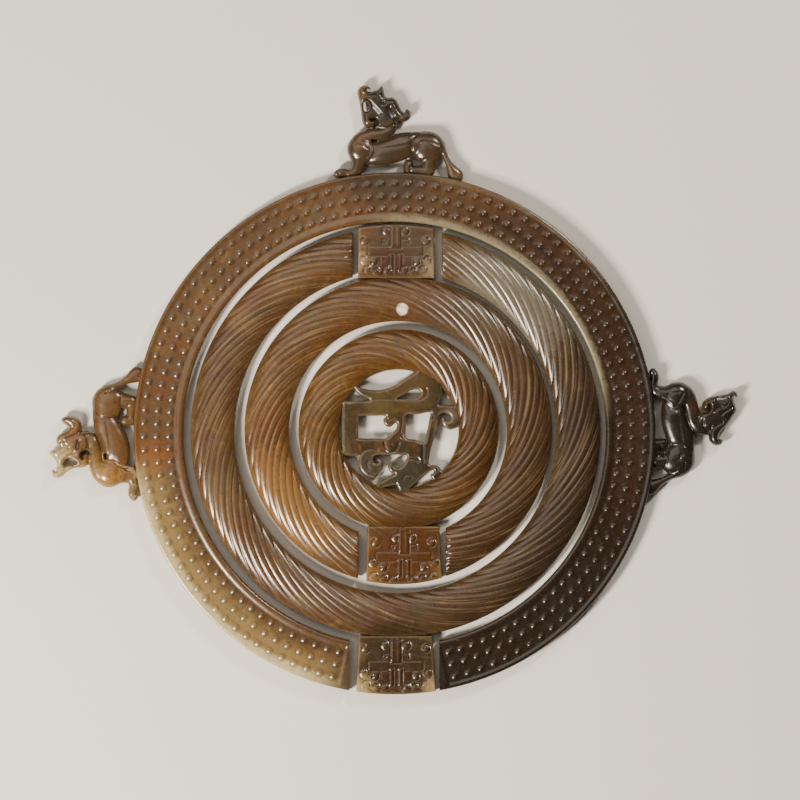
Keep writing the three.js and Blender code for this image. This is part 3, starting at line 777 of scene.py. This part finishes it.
def mask_relief(x, y, curls):
    """Relief of a mask and its grooves, from the middle of its brow, the same on both halves.

    A nose and a brow bar stand up with a fine groove outside their edges, two ridges flank the nose below
    the brow, squared hooks are cut above it, and each curl is a round bead in a spiral groove.
    """
    side = np.abs(x)
    relief = np.zeros(x.shape)
    groove = np.zeros(x.shape)

    def bar(left, right, low, high, raise_by, line=0.0):
        nonlocal relief, groove
        depth = np.minimum(np.minimum(side - left, right - side), np.minimum(y - low, high - y))
        relief = np.maximum(relief, raise_by * smoothstep(-0.25, 0.3, depth))
        groove = np.maximum(groove, line * np.exp(-(((depth + 0.3) / 0.25) ** 2)))

    bar(-1, 1.9, 1.5, 9.6, 0.24, 0.7)
    bar(-1, 10.3, -1.3, 1.7, 0.12, 0.35)
    bar(1.1, 2.3, -7.4, -1.0, 0.3, 0.4)
    bar(2.9, 5.6, -5.4, -1.9, 0.08)
    relief += 0.08 * np.exp(-(((side - 1.0) / 0.4) ** 2)) * smoothstep(1.4, 2.0, y)
    outer_hook = incised(side, y, [(2.2, 4.7), (5.0, 4.7), (5.3, 2.2)], 0.9)
    inner_hook = incised(side, y, [(3.3, 3.4), (4.4, 3.4), (4.5, 2.4)], 0.7)
    groove = np.maximum(groove, outer_hook + inner_hook)
    for cut in curls:
        rho = np.hypot(side - cut[0], y - cut[1])
        relief = np.maximum(relief, 0.14 * (1 - smoothstep(1.5, 2.3, rho)))
        relief += 0.19 * np.exp(-((rho / 0.85) ** 2))
        groove = np.maximum(groove, spiral_cut(side, y, cut))
    return np.clip(relief - 0.28 * groove, -0.3, 0.5), np.clip(groove, 0, 1)


def tab_plate(inner, outer, arc_centre, arc_radius, brow, curls):
    """A flat tab between two spreading sides, ended by an arc, with rounded edges and a mask on top."""
    left, right, start = inner
    outer_left, outer_right = outer
    side = math.copysign(1.0, start)
    end = arc_centre[1] + side * arc_radius

    def edge(x, y):
        along = (y - start) / (end - start)
        from_left = x - (left + (outer_left - left) * along)
        from_right = right + (outer_right - right) * along - x
        from_arc = arc_radius - np.hypot(x - arc_centre[0], y - arc_centre[1])
        from_start = side * (y - start)
        sides = np.minimum(from_left, from_right)
        return np.minimum(np.minimum(sides, from_start), from_arc)

    def top(x, y, d):
        fade = smoothstep(0.1, 0.9, d)
        relief, groove = mask_relief(x - brow[0], y - brow[1], curls)
        return TAB_TOP - rounded_edge(d, 0.6) + fade * relief, fade * groove

    def bottom(x, y, d):
        return rounded_edge(d, 0.5)

    reach = [min(left, outer_left) - 0.61, max(right, outer_right) + 0.6]
    rise = sorted([start - side * 0.57, end + side * 0.5])
    return plate(edge, top, bottom, (*reach, *rise), TAB_PITCH)


# Curls of each mask's half: middle across and up from the brow's middle, start angle, sweep, radius at
# start and end.
SECOND_MASK = [
    (4.0, 8.2, 200, -300, 1.1, 2.0),
    (11.7, 6.8, 120, -300, 1.1, 1.9),
    (12.3, -2.5, 200, -300, 1.1, 1.9),
    (7.9, -4.1, 60, -300, 1.0, 1.6),
    (11.3, -7.1, 220, -230, 1.3, 1.8),
    (7.3, -7.8, 200, -220, 1.0, 1.2),
    (4.0, -8.3, 220, -230, 1.3, 1.8),
]
THIRD_MASK = [
    (3.6, 8.2, 200, -300, 1.1, 1.9),
    (12.0, 4.0, 120, -300, 1.1, 1.8),
    (12.1, -3.2, 200, -300, 1.1, 1.9),
    (8.3, -4.2, 60, -300, 1.0, 1.5),
    (10.7, -6.8, 220, -300, 1.2, 1.7),
    (7.1, -7.4, 200, -220, 1.0, 1.2),
    (3.2, -7.0, 220, -300, 1.2, 1.7),
]
INNER_MASK = [
    (3.1, 7.6, 200, -300, 1.1, 1.8),
    (10.8, 5.6, 120, -300, 1.1, 1.9),
    (12.0, -2.0, 200, -300, 1.1, 1.8),
    (7.8, -4.3, 60, -300, 1.0, 1.6),
    (11.2, -7.2, 220, -230, 1.2, 1.7),
    (7.3, -7.9, 200, -220, 1.0, 1.2),
    (3.6, -8.6, 220, -230, 1.2, 1.6),
]


# ---- Beasts.

# A beast stands on the rim with its head turned up over its back. Places on it are [along the rim, out from
# the rim]. `chest` and `rear` shift its two ends, and `belly` says how much deeper its body hangs than the
# top one's.
BEASTS = {
    "beast_top": {"turn": 0, "chest": (0, 0), "rear": (0, 0), "belly": 0},
    "beast_left": {"turn": 90, "chest": (-2.5, 0.4), "rear": (-0.9, 0.1), "belly": 1.3},
    "beast_right": {"turn": -90, "chest": (-1.6, -0.4), "rear": (-2.7, -0.7), "belly": 0.2},
}


def stand(stations, stance):
    """Moves stations of the top beast's body to another one's stance."""
    placed = np.array(stations, float)
    front = smoothstep(1.0, 10.0, -placed[:, :1])
    rear = smoothstep(1.0, 9.0, placed[:, :1])
    placed[:, :2] += front * stance["chest"] + rear * stance["rear"]
    return placed


# Limbs: [along, out, half width, half thickness].
LIMBS = {
    "neck": [
        (-14.2, 9.6, 3.6, 2.9), (-12.6, 12.1, 3.5, 2.7), (-9.0, 13.9, 2.9, 2.5), (-4.5, 15.0, 2.9, 2.5),
        (-2.4, 17.0, 3.1, 2.5), (-2.3, 20.4, 3.0, 2.4),
    ],
    "foreleg": [
        (-12.8, 7.0, 4.2, 2.9), (-13.7, 3.4, 2.8, 2.6), (-14.7, 0.6, 2.3, 2.3), (-17.5, -0.5, 1.5, 2.1),
    ],
    "forepaw": [(-17.5, -0.4, 1.5, 2.0), (-20.3, 0.1, 1.7, 2.2), (-21.9, -0.5, 1.5, 2.2)],
    "hindleg": [(13.4, 7.0, 4.2, 2.9), (13.3, 3.6, 3.0, 2.6), (12.4, 0.7, 2.6, 2.3), (7.0, 0.9, 1.6, 2.1)],
    "hindpaw": [(5.0, 0.6, 1.6, 2.1), (5.3, 3.1, 1.9, 2.4)],
    "tail": [(17.6, 10.0, 1.7, 2.0), (19.6, 5.8, 1.2, 1.8), (21.5, 2.2, 1.6, 1.8), (23.4, -1.2, 3.0, 1.7)],
}
EXTRA_LIMBS = {
    "top": [],
    "left": [
        [(-14.5, 7.0, 3.0, 2.6), (-15.2, 3.0, 2.3, 2.4), (-15.5, 0.2, 2.4, 2.3)],
        [(-11.6, 8.4, 1.1, 2.9), (-12.5, 4.5, 1.2, 2.8), (-13.4, 0.4, 1.2, 2.6)],
    ],
    "right": [[(-11.2, 7.6, 0.9, 2.9), (-12.9, 4.2, 1.0, 2.8), (-15.0, 0.6, 1.0, 2.6)]],
}
BEAST_AREA = (-27.3, 28.9, -3.2, 35.1)
BEAST_PITCH = 0.27
BEAST_BACK = 3.3  # the most that a beast's back stands off its middle plane
LUMPS = {"shoulder": ((-12.7, 8.9), 5.4, 3.4), "haunch": ((12.9, 9.3), 6.4, 3.4)}

# Cuts on the body: [way, depth, low side].
BODY_CUTS = {
    "flank": ([(-8.3, 9.2), (-2.0, 9.6), (4.0, 10.6), (6.6, 11.2)], 0.22, -1),
    "shoulder_back": ([(-8.0, 10.2), (-7.9, 7.4), (-9.4, 5.0), (-11.4, 2.6), (-12.2, 0.4)], 0.55, 1),
    "haunch_front": ([(9.8, 14.9), (7.4, 12.8), (6.7, 10.0), (7.0, 7.0), (8.0, 5.6)], 0.7, -1),
    "knee": ([(10.4, 3.6), (11.6, 5.2), (14.0, 5.0), (16.6, 3.9)], 0.3, -1),
    "claws": ([(-22.8, 0.9), (-21.6, 0.1), (-21.2, -1.4)], 0.3, 0),
    "toes": ([(4.2, 3.9), (5.6, 3.5), (6.1, 2.0)], 0.3, 0),
    "tail_root": ([(16.8, 9.6), (18.2, 6.6), (19.0, 4.4)], 0.4, -1),
}
SPIRALS = {
    "top": [
        ([(10.5, 10.6), (10.2, 11.6), (11.4, 12.3), (13.4, 12.0), (15.6, 11.0), (17.4, 9.8)], 0.45, 0),
        ([(-15.9, 10.2), (-14.3, 11.2), (-12.6, 10.9), (-11.2, 9.6), (-9.6, 8.7)], 0.4, 0),
        ([(-9.4, 12.0), (-6.0, 12.3), (-2.5, 13.5), (1.0, 15.0)], 0.6, -1),
    ],
    "left": [
        ([(15.2, 11.0), (15.6, 10.6), (16.0, 10.2)], 1.0, 0),
        ([(-13.4, 14.6), (-12.2, 12.4), (-12.6, 10.2)], 0.2, 0),
        ([(-9.4, 10.8), (-6.4, 12.1), (-3.0, 13.4), (0.8, 14.8)], 0.6, -1),
    ],
    "right": [
        ([(8.6, 11.2), (8.1, 9.9), (9.4, 9.2), (10.4, 10.2), (11.6, 11.3), (14.4, 10.4)], 0.5, 0),
        ([(-16.2, 10.8), (-14.2, 10.2), (-12.6, 9.2), (-11.0, 8.2)], 0.5, 0),
        ([(-15.9, 9.8), (-15.6, 7.0), (-14.8, 4.2)], 0.4, 0),
        ([(-11.4, 8.4), (-10.2, 6.8), (-12.0, 4.6), (-14.6, 1.4)], 0.5, 1),
        ([(-10.4, 11.0), (-7.0, 11.6), (-3.4, 13.0), (-1.0, 14.6)], 0.5, -1),
    ],
}

# Heads: the outline from the nose over the ear and the crest's curl to the nape, and back along the jaw to
# the chin and the front of the open mouth; the openings as strokes [along, out, half width]; and the cuts.
HEADS = {
    "top": {
        "outline": [
            (-14.2, 30.2), (-13.9, 32.0), (-12.7, 33.2), (-11.1, 33.5), (-9.7, 32.9), (-9.1, 31.9),
            (-10.2, 32.1), (-10.8, 31.5), (-9.8, 31.0), (-8.2, 31.2), (-6.4, 31.9), (-4.8, 33.3),
            (-4.2, 31.6), (-3.7, 29.5), (-2.7, 28.7), (-0.9, 28.8), (0.5, 28.0), (1.5, 26.2), (2.3, 24.5),
            (3.3, 23.3), (4.1, 23.3), (4.3, 24.1), (5.1, 24.4), (6.2, 23.2), (6.3, 21.4), (5.2, 19.9),
            (3.4, 19.4), (1.0, 19.8), (0.7, 17.0), (-3.0, 15.4), (-6.4, 16.8), (-8.2, 17.1), (-10.7, 17.3),
            (-12.1, 18.6), (-12.6, 21.0), (-12.9, 24.0), (-13.5, 27.2),
        ],
        "openings": [
            [(-11.1, 26.5, 0.8), (-10.6, 25.4, 1.25), (-10.8, 24.2, 0.9)],
            [
                (-8.9, 20.2, 0.25), (-7.7, 20.1, 0.42), (-7.0, 19.2, 0.5),
                (-7.1, 18.2, 0.42), (-7.8, 17.5, 0.25),
            ],
            [(-8.3, 12.1, 0.5), (-6.9, 12.1, 0.4)],
            [(9.0, 4.3, 0.55), (9.8, 4.4, 0.4)],
        ],
        "cuts": [
            ([(-11.7, 28.1), (-9.6, 27.4), (-7.4, 25.2), (-4.2, 21.6)], 0.75, -1),
            ([(-1.7, 26.0), (-1.3, 23.8), (-0.2, 21.6), (1.4, 20.2), (4.4, 19.6)], 0.75, -1),
            ([(1.2, 20.0), (-0.5, 18.5), (-2.2, 17.5), (-4.5, 17.3), (-7.4, 18.2)], 0.8, 1),
            ([(-9.2, 30.2), (-6.4, 29.8), (-4.2, 28.8), (-3.0, 27.0)], 0.35, 1),
            ([(-4.9, 27.5), (-3.7, 27.4), (-3.4, 26.3), (-4.4, 25.8), (-5.0, 26.6)], 0.4, 0),
            ([(-0.9, 28.0), (0.5, 25.8), (1.7, 23.6), (3.2, 21.9), (5.0, 21.5)], 0.35, 0),
        ],
    },
    "left": {
        "outline": [
            (-17.0, 28.8), (-16.8, 30.3), (-15.8, 31.3), (-14.4, 31.4), (-13.7, 30.7), (-14.5, 30.2),
            (-13.9, 29.5), (-12.2, 29.3), (-10.4, 30.0), (-8.7, 31.4), (-7.3, 32.3), (-6.3, 31.0),
            (-5.2, 29.1), (-3.9, 29.4), (-2.3, 29.7), (-0.8, 29.0), (0.4, 27.3), (1.3, 25.6), (2.3, 24.9),
            (3.1, 25.7), (4.0, 27.0), (5.2, 27.8), (6.3, 26.8), (6.7, 25.1), (6.2, 22.6), (4.9, 20.5),
            (2.9, 19.7), (0.6, 19.8), (0.5, 17.0), (-3.5, 15.6), (-7.2, 16.7), (-9.2, 16.6), (-11.1, 16.8),
            (-12.5, 18.0), (-13.1, 19.8), (-13.3, 22.6), (-14.6, 25.4), (-16.3, 27.2),
        ],
        "openings": [
            [(-11.8, 26.1, 0.85), (-10.9, 25.1, 1.3), (-11.3, 23.6, 0.95), (-11.3, 22.5, 0.5)],
            [(-9.3, 19.7, 0.25), (-8.0, 19.7, 0.42), (-7.2, 18.9, 0.5), (-7.1, 17.9, 0.5), (-7.8, 17.0, 0.3)],
            [(-9.4, 10.8, 0.5), (-8.2, 11.0, 0.45)],
            [(4.4, 5.7, 0.3), (7.0, 5.0, 0.5), (8.9, 4.3, 0.8)],
        ],
        "cuts": [
            ([(-14.4, 27.9), (-11.4, 27.8), (-9.0, 26.0), (-7.9, 23.8), (-6.0, 22.4)], 0.6, -1),
            ([(-6.8, 21.9), (-4.6, 21.7), (-2.2, 21.2)], 1.3, 0),
            ([(-6.4, 21.2), (-4.6, 21.0), (-2.2, 20.7)], 1.3, 0),
            ([(-1.8, 26.4), (-1.0, 23.6), (0.2, 21.4), (2.4, 20.3)], 0.6, -1),
            ([(0.4, 19.6), (-1.5, 18.2), (-4.0, 17.7), (-6.2, 18.3)], 0.7, 1),
            ([(-9.9, 29.5), (-8.0, 27.6), (-6.4, 25.4), (-4.8, 24.4)], 0.45, 0),
            ([(-7.6, 31.0), (-6.2, 28.6), (-5.0, 26.4), (-3.8, 25.2)], 0.45, 1),
            ([(-3.8, 28.2), (-2.6, 27.8), (-2.7, 26.6), (-3.9, 26.6)], 0.4, 0),
            ([(1.6, 24.4), (2.6, 22.6), (4.2, 22.2), (5.2, 23.4)], 0.35, 0),
        ],
    },
    "right": {
        "outline": [
            (-16.3, 29.5), (-16.0, 30.85), (-14.9, 31.4), (-13.7, 31.2), (-14.3, 30.6), (-13.9, 29.9),
            (-12.6, 30.0), (-11.0, 30.5), (-9.2, 31.15), (-8.0, 30.8), (-6.6, 29.8), (-4.6, 28.6),
            (-2.6, 27.2), (-1.0, 25.6), (0.6, 24.6), (2.0, 24.4), (2.3, 25.2), (3.1, 25.9), (4.2, 25.3),
            (4.7, 23.8), (4.3, 22.2), (3.0, 20.9), (1.2, 20.4), (-0.9, 19.9), (-1.2, 17.5), (-4.5, 16.0),
            (-7.9, 17.2), (-8.5, 18.6), (-9.8, 17.9), (-11.5, 18.0), (-13.0, 19.1), (-14.1, 21.2),
            (-14.6, 24.2), (-15.2, 27.4),
        ],
        "openings": [
            [(-13.1, 27.0, 0.7), (-12.4, 25.8, 1.15), (-13.0, 24.3, 0.75)],
            [(-10.8, 20.7, 0.25), (-9.6, 20.6, 0.4), (-8.7, 19.8, 0.5), (-8.4, 18.8, 0.5)],
            [(-10.3, 11.0, 0.4), (-8.2, 11.3, 0.45)],
            [(4.4, 5.0, 0.35), (6.2, 4.4, 0.5), (7.6, 4.1, 0.4)],
        ],
        "cuts": [
            ([(-14.5, 28.6), (-12.6, 27.9), (-10.4, 26.6), (-9.4, 23.8), (-7.4, 22.0)], 0.6, -1),
            ([(-4.2, 26.6), (-3.2, 24.2), (-2.2, 22.4), (-0.4, 20.8)], 0.6, -1),
            ([(0.6, 21.0), (-1.2, 19.6), (-3.2, 18.5), (-6.2, 18.3)], 0.9, 1),
            ([(-10.4, 30.2), (-9.2, 28.2), (-8.0, 26.2), (-6.4, 25.0)], 0.4, 0),
            ([(-8.6, 30.4), (-7.4, 28.2), (-6.2, 26.8), (-4.8, 26.6)], 0.4, 1),
            ([(-3.4, 21.8), (-2.4, 21.2), (-1.6, 21.6)], 0.5, 0),
        ],
    },
}


def turned(points, degrees):
    """Points turned about the outer ring's middle."""
    turn = math.radians(degrees)
    x = points[:, 0] * math.cos(turn) - points[:, 1] * math.sin(turn)
    y = points[:, 0] * math.sin(turn) + points[:, 1] * math.cos(turn)
    return np.stack([x, y, points[:, 2]], -1)


def torso(sink):
    """Stations of a torso whose belly hangs `sink` deeper than the top beast's."""
    return [
        (-10.5, 7.2 - sink / 2, 4.0, 2.9),
        (-5.0, 7.6 - sink / 2, 5.0 + sink / 2, 3.2),
        (1.0, 9.5, 5.3, 3.2),
        (6.0, 10.8, 4.8, 3.2),
        (12.0, 10.6, 5.1, 3.2),
    ]


def near_edge(d):
    """The most that a beast's face may stand off its middle plane at a depth inside the outline."""
    return 0.6 + 2.4 * np.sqrt(np.maximum(d, 0))


def beast(name, stance):
    """A beast as a plate domed on both faces: each form rises as an oval, and the highest shows."""
    kind = name.removeprefix("beast_")
    head = HEADS[kind]
    loop = smooth_loop(head["outline"])
    ways = [torso(stance["belly"]), *LIMBS.values()]
    strokes = [stand(smooth_line(way), stance) for way in ways]
    strokes += [smooth_line(way) for way in EXTRA_LIMBS[kind]]
    lumps = [(stand([centre], stance)[0], radius, thick) for centre, radius, thick in LUMPS.values()]
    openings = [smooth_line(way) for way in head["openings"]]
    cuts = [(stand(smooth_line(way), stance), deep, low) for way, deep, low in BODY_CUTS.values()]
    cuts += [(smooth_line(way), deep, low) for way, deep, low in head["cuts"] + SPIRALS[kind]]

    def fields(x, y):
        inside = inside_loop(x, y, loop)
        height = dome(inside, 2.3, 2.75, 2.2)
        for line in strokes:
            depth, width, thick = stroke(x, y, line)
            inside = soft_max(inside, depth, 0.6)
            height = soft_max(height, dome(depth, width, thick), 0.35)
        for centre, radius, thick in lumps:
            depth = radius - np.hypot(x - centre[0], y - centre[1])
            inside = soft_max(inside, depth, 0.6)
            height = soft_max(height, dome(depth, np.full(x.shape, radius), thick, 2.6), 0.2)
        for opening in openings:
            outside, _ = nearest(x, y, np.column_stack([opening[:, :3], np.ones(len(opening))]))
            inside = np.minimum(inside, outside)
        return inside, np.maximum(height, 0.4)

    def edge(x, y):
        return fields(x, y)[0]

    def top(x, y, d):
        height = np.minimum(fields(x, y)[1], near_edge(d))
        cut = sum(incised(x, y, way, deep, low) for way, deep, low in cuts)
        cut = np.minimum(cut, 1.0) * smoothstep(0.0, 0.6, d)
        return MIDDLE + height - 0.75 * cut, np.clip(1.1 * cut, 0, 1)

    def bottom(x, y, d):
        height = np.minimum(fields(x, y)[1], BEAST_BACK)
        return MIDDLE - np.minimum(height, near_edge(d))

    points, faces, marks = plate(edge, top, bottom, BEAST_AREA, BEAST_PITCH)
    return turned(points + [0, RIM, 0], stance["turn"]), faces, marks


# ---- The pierced panel.

PANEL_HALF = 2.2  # half the panel's thickness
PANEL_PITCH = 0.24
PANEL_REACH = 25.0  # the panel runs out to here, a little way into the rope round it

# Openings sawn through the panel, as outlines measured from the outer ring's middle.
OPENINGS = {
    "over_ribbon": [
        (-15.2, 18.9), (-12.0, 17.2), (-8.0, 16.6), (-4.0, 16.9), (0.0, 18.5), (4.0, 21.1), (8.6, 24.1),
        (4.0, 25.1), (0.0, 25.2), (-4.5, 24.5), (-9.0, 22.7), (-13.0, 20.3),
    ],
    "under_tip": [
        (-16.0, 17.4), (-18.0, 14.8), (-19.2, 12.6), (-14.0, 12.6), (-9.6, 12.8), (-12.5, 14.2),
        (-14.6, 15.8),
    ],
    "teardrop": [
        (1.0, 13.4), (3.6, 14.9), (6.4, 16.5), (8.8, 16.8), (10.0, 15.7), (9.4, 14.3), (7.6, 13.5),
        (4.2, 13.3),
    ],
    "upper_right": [(18.6, 18.0), (18.2, 14.5), (17.0, 11.2), (20.0, 11.1), (23.4, 11.1), (21.6, 14.6)],
    "left_slit": [
        (-20.0, 11.2), (-20.2, 8.0), (-20.2, 0.0), (-20.2, -4.5), (-20.0, -6.4), (-21.6, -4.0),
        (-22.4, 0.0), (-22.3, 4.0), (-21.4, 8.5),
    ],
    "left_window": [
        (-13.8, 6.0), (-13.4, 6.6), (-8.0, 6.7), (-3.5, 6.7), (-4.3, 5.4), (-4.0, 3.7), (-3.0, 2.6),
        (-1.6, 2.5), (-0.5, 3.3), (0.3, 4.2), (0.9, 3.5), (0.6, 1.8), (-1.2, -0.1), (-3.4, -1.8),
        (-8.0, -1.9), (-13.3, -1.9), (-13.8, -1.3), (-13.8, 2.5),
    ],
    "right_window": [
        (4.4, 7.1), (9.0, 7.3), (13.4, 8.0), (13.3, 5.4), (12.4, 0.8), (11.2, -3.4), (8.0, -2.3),
        (4.6, -1.7), (4.3, 3.0),
    ],
    "right": [
        (16.7, 4.6), (17.2, 6.9), (18.7, 7.9), (20.4, 7.6), (21.5, 6.3), (21.3, 5.0), (20.3, 4.5),
        (19.4, 5.1), (18.9, 6.3), (18.0, 5.6), (18.2, 3.8), (19.5, 2.2), (21.6, 1.4), (25.2, 2.4),
        (25.0, -1.0), (24.0, -5.0), (22.0, -9.4), (18.6, -14.1), (16.6, -12.4), (13.2, -11.6), (13.8, -7.0),
        (15.2, -1.5),
    ],
    "lower_left": [
        (-20.0, -8.6), (-16.5, -8.7), (-13.7, -8.9), (-13.9, -11.5), (-12.9, -14.4), (-10.8, -16.4),
        (-8.2, -17.1), (-7.0, -18.4), (-7.3, -20.4), (-10.5, -20.4), (-14.5, -17.2), (-18.0, -12.6),
    ],
    "middle": [
        (-8.2, -9.6), (-7.3, -8.5), (-5.0, -8.1), (2.0, -8.2), (4.7, -8.6), (4.2, -10.6), (2.8, -12.4),
        (1.0, -13.1), (-0.2, -12.3), (-0.2, -11.2), (0.8, -10.9), (0.4, -10.4), (-1.2, -10.8),
        (-2.4, -12.0), (-2.4, -13.7), (-1.5, -15.0), (0.0, -15.6), (-2.0, -16.4), (-4.4, -17.9),
        (-6.6, -18.4), (-7.4, -17.0), (-6.4, -15.4), (-4.8, -14.0), (-4.2, -12.0), (-4.7, -10.5),
        (-5.8, -9.7), (-6.8, -10.0), (-6.1, -11.0), (-7.4, -11.3),
    ],
    "under_tongue": [(-4.4, -21.0), (-1.8, -20.2), (0.4, -19.8), (1.0, -20.5), (1.5, -21.9), (-1.5, -22.2)],
    "under_head": [
        (5.8, -21.3), (8.8, -18.4), (11.8, -15.8), (14.2, -14.1), (15.1, -14.5), (14.6, -15.4),
        (13.6, -15.9), (14.4, -17.6), (14.0, -18.6), (12.0, -20.2), (9.0, -21.4),
    ],
}
EYE = (3.2, -0.9, 0.55)  # a drilled hole: middle and radius
PANEL_CUTS = [
    ([(-3.9, -2.2), (-4.0, -4.4), (-3.2, -6.2), (-1.6, -7.2), (0.2, -6.8), (1.4, -5.0), (2.2, -3.0)], 0.7, 1),
    ([(-1.4, -3.6), (-1.0, -4.8), (0.2, -5.2), (0.6, -4.2)], 0.3, 0),
    ([(2.6, 6.8), (3.0, 4.0), (2.4, 1.2), (2.4, -0.6)], 0.4, 0),
    ([(-3.4, 6.2), (-2.2, 5.2), (-1.0, 5.6), (0.4, 5.6)], 0.4, 0),
    ([(10.4, -3.6), (10.8, -6.4), (10.6, -9.0), (11.4, -11.8)], 0.6, 1),
    ([(5.0, -8.7), (7.0, -8.6), (9.0, -9.4), (10.2, -11.0)], 0.6, -1),
    ([(5.4, -9.9), (7.6, -10.0), (9.2, -11.2)], 0.35, 0),
    ([(-13.2, -9.0), (-12.2, -7.4), (-10.0, -6.2), (-7.6, -6.2), (-5.6, -7.0)], 0.6, 1),
    ([(-5.2, -14.0), (-7.6, -15.0), (-10.2, -13.6), (-10.6, -11.4), (-9.2, -9.9)], 0.5, -1),
    ([(13.4, 9.6), (14.6, 7.0), (14.2, 4.6)], 0.45, 1),
    ([(10.2, 17.6), (12.2, 17.2), (12.4, 15.0), (10.8, 13.2), (8.0, 12.6), (4.0, 12.5)], 0.5, -1),
    ([(-9.6, 12.9), (-4.4, 13.2), (1.0, 13.0)], 0.6, 0),
    ([(1.2, -17.6), (0.6, -18.8), (1.4, -20.0)], 0.4, 0),
    ([(3.2, -18.2), (4.2, -16.2), (6.4, -16.4), (6.6, -18.0)], 0.35, 0),
    ([(13.0, -13.4), (14.8, -12.8), (16.2, -13.6), (16.4, -15.4)], 0.45, 0),
]


def panel(centre):
    """The dragon and phoenix panel: a round plate with openings, rounded edges and cut lines."""
    loops = [smooth_loop(outline, 4) for outline in OPENINGS.values()]
    cuts = [(smooth_line(way), deep, low) for way, deep, low in PANEL_CUTS]

    def edge(x, y):
        inside = PANEL_REACH - np.hypot(x - centre[0], y - centre[1])
        for loop in loops:
            inside = np.minimum(inside, -inside_loop(x, y, loop))
        return np.minimum(inside, np.hypot(x - EYE[0], y - EYE[1]) - EYE[2])

    def top(x, y, d):
        cut = sum(incised(x, y, way, deep, low, slope=0.9) for way, deep, low in cuts)
        cut = np.minimum(cut, 0.8) * smoothstep(0.0, 0.6, d)
        return MIDDLE + PANEL_HALF - rounded_edge(d, 1.1) - 0.45 * cut, np.clip(1.2 * cut, 0, 1)

    def bottom(x, y, d):
        return MIDDLE - PANEL_HALF + rounded_edge(d, 0.6)

    reach = PANEL_REACH + 0.5
    area = (centre[0] - reach, centre[0] + reach, centre[1] - reach, centre[1] + reach)
    return plate(edge, top, bottom, area, PANEL_PITCH)


# ---- The four pieces.

piece("grain_ring", flat_ring(), "outer_ring", OUTER_JADE, sharp=55)
for beast_name, beast_stance in BEASTS.items():
    piece(beast_name, beast(beast_name, beast_stance), "outer_ring", OUTER_JADE)

second = piece("second_rope", rope_ring(**ROPES["second"]), "second_ring", SECOND_JADE)
cut_opening(second, -16.0, 18.2, 40.0, 84.0)
second_tab = tab_plate((-13.7, 14.5, -77.5), (-14.7, 15.9), (0, 0), 100.0, (0.5, -89.2), SECOND_MASK)
piece("second_tab", second_tab, "second_ring", SECOND_JADE)

third = piece("third_rope", rope_ring(**ROPES["third"]), "third_ring", THIRD_JADE)
cut_opening(third, -13.9, 19.6, -25.0, -64.0)
third_tab = tab_plate((-14.0, 15.3, 59.5), (-13.8, 15.0), (0, 0), 80.0, (0.4, 69.7), THIRD_MASK)
piece("third_tab", third_tab, "third_ring", THIRD_JADE)

piece("inner_rope", rope_ring(**ROPES["inner"]), "inner_ring", INNER_JADE)
piece("panel", panel(ROPES["inner"]["centre"]), "inner_ring", PANEL_JADE)
third_middle = ROPES["third"]["centre"]
inner_tab = tab_plate((-10.4, 17.2, -35.5), (-10.9, 18.4), third_middle, 59.1, (3.5, -47.4), INNER_MASK)
piece("inner_tab", inner_tab, "inner_ring", INNER_JADE)


# ---- Floor, light and camera.


def table_top():
    """A plain pale table, one square."""
    mesh = bpy.data.meshes.new("table")
    half = 2.0
    corners = [(-half, -half, 0), (half, -half, 0), (half, half, 0), (-half, half, 0)]
    mesh.from_pydata(corners, [], [(0, 1, 2, 3)])
    material = bpy.data.materials.new("pale_table")
    material.use_nodes = True
    shader = material.node_tree.nodes["Principled BSDF"]
    shader.inputs["Base Color"].default_value = (0.72, 0.70, 0.67, 1)
    shader.inputs["Roughness"].default_value = 0.7
    mesh.materials.append(material)
    obj = bpy.data.objects.new("table", mesh)
    bpy.context.scene.collection.objects.link(obj)


def soft_box(name, azimuth, elevation, distance, size, power):
    """An area light, [width, height] in size, that faces the object from a direction given in degrees."""
    light = bpy.data.lights.new(name, "AREA")
    light.shape = "RECTANGLE"
    light.size, light.size_y = size
    light.energy = power
    light.color = (1.0, 0.9, 0.76)
    obj = bpy.data.objects.new(name, light)
    a, e = math.radians(azimuth), math.radians(elevation)
    away = distance * math.cos(e)
    obj.location = (away * math.cos(a), away * math.sin(a), distance * math.sin(e))
    obj.rotation_euler = (math.pi / 2 - e, 0, a + math.pi / 2)
    bpy.context.scene.collection.objects.link(obj)


def top_camera():
    """A camera straight above, with a long lens, that takes in 306.4 mm at the carved faces' height."""
    camera = bpy.data.cameras.new("camera")
    distance, taken_in = 2.2, 0.3064
    camera.lens = camera.sensor_width * distance / taken_in
    obj = bpy.data.objects.new("camera", camera)
    obj.location = ((CENTRE[0] + 2.1) * MM, (CENTRE[1] + 12.8) * MM, distance + 0.006)
    bpy.context.scene.collection.objects.link(obj)
    bpy.context.scene.camera = obj


table_top()
soft_box("key", 218, 45, 0.9, (0.12, 0.28), 17)
soft_box("second_light", 50, 42, 1.0, (0.08, 0.15), 5.6)
soft_box("fill", 125, 58, 1.4, (1.2, 1.2), 7.7)
world = bpy.data.worlds.new("studio")
world.use_nodes = True
world.node_tree.nodes["Background"].inputs["Color"].default_value = (1.0, 0.95, 0.88, 1)
world.node_tree.nodes["Background"].inputs["Strength"].default_value = 0.08
bpy.context.scene.world = world
top_camera()
